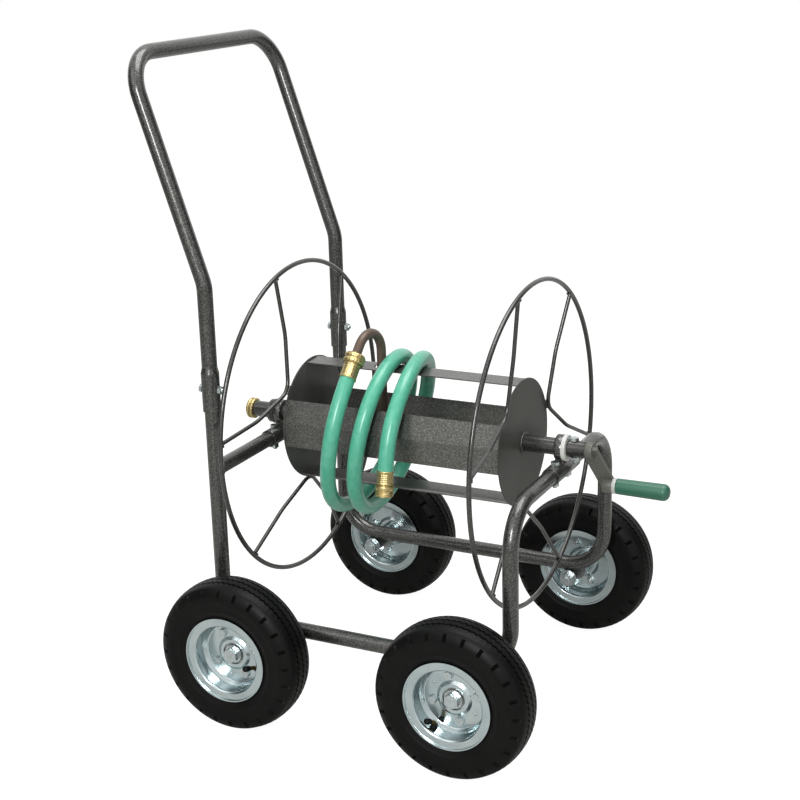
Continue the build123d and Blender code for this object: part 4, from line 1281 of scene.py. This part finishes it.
@dataclass
class WeldBeads:
    """Rippled weld beads where rod, tube and sheet meet."""

    ripple: float = 0.0016          # from one overlapping coin of weld to the next
    rounds: float = 0.18
    post_x: float = 0.228
    side_y: float = 0.190
    cross_height: float = 0.3629
    tube_radius: float = 0.0111
    saddle_bite: float = 0.96       # share of the tube's section that the saddle follows
    bush_inner: float = 0.182       # the axle bush under the rail, from here over its length
    bush_length: float = 0.030
    bush_top: float = 0.1233
    fillet_offset: float = 0.0058   # from the middle of a bush or housing to its fillet
    housing_foot: float = 0.0128    # above the cross stretches
    housing_half: float = 0.0105
    disc_face: float = 0.1722
    shaft_ring: float = 0.0138
    strut_count: int = 3
    strut_angle: float = 40.0
    strut_spread: float = 34.0
    strut_seat: tuple[float, float] = (0.1712, 0.0935)      # along the shaft and out from it
    hoop_seat: tuple[float, float] = (0.1891, 0.2310)
    rod_offset: float = 0.0028

    def rippled(self, path: list[Vector], radius: float, closed: bool) -> tuple[list[Vector], list[float]]:
        """Resample a path finely and give it the radius of a row of overlapping coins.

        Args:
            path: the bead's course.
            radius: its mean radius.
            closed: whether it closes on itself.

        Returns:
            The points and the radius at each.
        """
        ends = path + path[:1] if closed else path
        points: list[Vector] = []
        radii: list[float] = []
        travelled = 0.0
        for here, there in zip(ends, ends[1:]):
            length = (there - here).length
            count = max(1, round(length / (self.ripple / 4)))
            for step in range(count):
                points.append(here.lerp(there, step / count))
                phase = (travelled + length * step / count) / self.ripple
                radii.append(radius * (1 - self.rounds * (phase % 1.0) ** 2))
            travelled += length
        if not closed:
            points.append(path[-1])
            radii.append(radius * 0.8)
        return points, radii

    def ring(self, centre: Vector, axis: Vector, radius: float) -> list[Vector]:
        """Points of a circle about an axis."""
        side = axis.orthogonal().normalized()
        up = axis.normalized().cross(side)
        return [
            centre + radius * (side * cos(tau * k / 48) + up * sin(tau * k / 48)) for k in range(48)
        ]

    def on_shaft(self, x: float) -> Vector:
        """A point of the reel's axis, at a distance from the middle between the wheels."""
        return Vector((x + ALONG_X, 0, REEL_AXIS_HEIGHT))

    def build_frame_beads(self) -> None:
        """Beads of the side frames and reel supports."""
        mesh = bmesh.new()
        bead_circle = self.tube_radius + 0.2 * MM
        for side in (-1, 1):
            # Cross stretch coped to the rear post: a saddle-shaped ring.
            saddle = []
            for step in range(40):
                angle = tau * step / 40
                across, up = bead_circle * cos(angle), bead_circle * sin(angle)
                reach = max(0.0, self.tube_radius ** 2 - (across * self.saddle_bite) ** 2) ** 0.5
                saddle.append(Vector((
                    -self.post_x + ALONG_X + across, side * (self.side_y - reach),
                    self.cross_height + up,
                )))
            add_rope(mesh, *self.rippled(saddle, 1.5 * MM, True), True)
            # Two fillets along each axle bush, under the rail.
            for wheel_x in (-WHEEL_X, WHEEL_X):
                for lean in (-1, 1):
                    x = wheel_x + ALONG_X + lean * self.fillet_offset
                    path = [
                        Vector((x, side * (self.bush_inner + self.bush_length * k / 8), self.bush_top))
                        for k in range(9)
                    ]
                    add_rope(mesh, *self.rippled(path, 1.8 * MM, False), False)
        for end in (-1, 1):
            # Housing to sleeve, one fillet on each face.
            for face in (-1, 1):
                x = end * self.post_x + ALONG_X + face * self.fillet_offset
                foot = self.cross_height + self.housing_foot
                path = [Vector((x, self.housing_half * (k / 4 - 1), foot)) for k in range(9)]
                add_rope(mesh, *self.rippled(path, 1.4 * MM, False), False)
        piece = finished_object("frame_weld_beads", mesh, Paint.HAMMERTONE, "frame", 60.0)

    def build_reel_beads(self) -> None:
        """Beads of the reel: shaft to discs, struts to disc rims and struts to hoops."""
        mesh = bmesh.new()
        for end in (-1, 1):
            shaft_ring = self.ring(self.on_shaft(end * self.disc_face), Vector((1, 0, 0)), self.shaft_ring)
            add_rope(mesh, *self.rippled(shaft_ring, 1.9 * MM, True), True)
            for strut in range(self.strut_count):
                middle = self.strut_angle + 360 / self.strut_count * strut
                bisector = radians(middle)
                out = Vector((0, -cos(bisector), sin(bisector)))
                aside = Vector((0, -sin(bisector), -cos(bisector)))
                seat = self.on_shaft(end * self.strut_seat[0]) + out * self.strut_seat[1]
                path = [seat + aside * (7 * MM * (k / 4 - 1)) for k in range(9)]
                add_rope(mesh, *self.rippled(path, 1.9 * MM, False), False)
                for side in (-1, 1):
                    meet = radians(middle + side * self.strut_spread)
                    rod = Vector((0, -cos(meet), sin(meet)))
                    cross = Vector((0, sin(meet), cos(meet)))
                    hoop = self.on_shaft(end * self.hoop_seat[0]) + rod * self.hoop_seat[1]
                    for face in (-1, 1):
                        start = hoop + Vector((face * self.rod_offset, 0, 0))
                        path = [start + cross * (5 * MM * (k / 3 - 1)) for k in range(7)]
                        add_rope(mesh, *self.rippled(path, 1.2 * MM, False), False)
        piece = finished_object("reel_weld_beads", mesh, Paint.HAMMERTONE, "reel", 60.0)


@dataclass
class CartFrame:
    """Side frames, reel supports, push handle and their fasteners."""

    tubes: tuple[str, ...] = ("near_side_frame", "far_side_frame", "handle")
    supports: tuple[str, ...] = ("front_support", "rear_support")
    fasteners: tuple[str, ...] = (
        "handle_bolts", "support_bolts", "frame_nuts", "axle_bolts", "axle_nuts", "axle_washers",
    )

    def build(self) -> None:
        """Finish the frame's nodes."""
        for node in self.tubes:
            dress_node(node, Paint.HAMMERTONE)
        for node in self.supports:
            dress_node(node, Paint.HAMMERTONE, 0.3 * MM)
        for node in self.fasteners:
            dress_node(node, Paint.FASTENER, 0.5 * MM)
        dress_node("front_bushing", Paint.WHITE_NYLON)
        dress_node("rear_bushing", Paint.BLACK_NYLON)
        LOG.info("frame dressed")


@dataclass
class Reel:
    """Drum, discs, ring flanges, shaft, gooseneck and crank."""

    # These get the rod copy of the enamel, its tone painted darker as shade.
    rod_parts_painted_shade: tuple[str, ...] = ("front_flange", "rear_flange", "reel_shaft", "shaft_collar")

    def build(self) -> None:
        """Finish the reel's nodes."""
        for node in self.rod_parts_painted_shade:
            dress_node(node, Paint.HAMMERTONE_ROD_SHADED)
        # The slats get the enamel painted lighter, for the light their faces catch.
        dress_node("drum_slats", Paint.HAMMERTONE_SHEET_LIT)
        dress_node("front_disc", Paint.DISC, 0.4 * MM)
        dress_node("rear_disc", Paint.DISC, 0.4 * MM)
        dress_node("gooseneck", Paint.GOOSENECK)
        # Painted light: the arm's enamel is lighter for the light its upper face catches.
        dress_node("crank_arm", Paint.ARM_LIT, 0.6 * MM)
        dress_node("crank_bolt", Paint.FASTENER, 0.4 * MM)
        dress_node("grip_bolt", Paint.FASTENER, 0.3 * MM)
        dress_node("grip_spacer", Paint.SPACER, 0.3 * MM)
        dress_node("inlet_washer", Paint.CAP)
        dress_node("crank_grip", Paint.GRIP)
        LOG.info("reel dressed")


def main() -> None:
    """Build the studio, then the cart piece by piece."""
    logging.basicConfig(level=logging.INFO, format="%(name)s: %(message)s")
    studio = Studio()
    studio.build_camera()
    hose = LeaderHose()
    fittings = BrassFittings(hose)
    hose.build([fittings.build_ferrule(), fittings.build_coupling()])
    fittings.build_nuts()
    CartFrame().build()
    Reel().build()
    beads = WeldBeads()
    beads.build_frame_beads()
    beads.build_reel_beads()
    Wheels().build()
    studio.build()


if __name__ == "__main__":
    main()
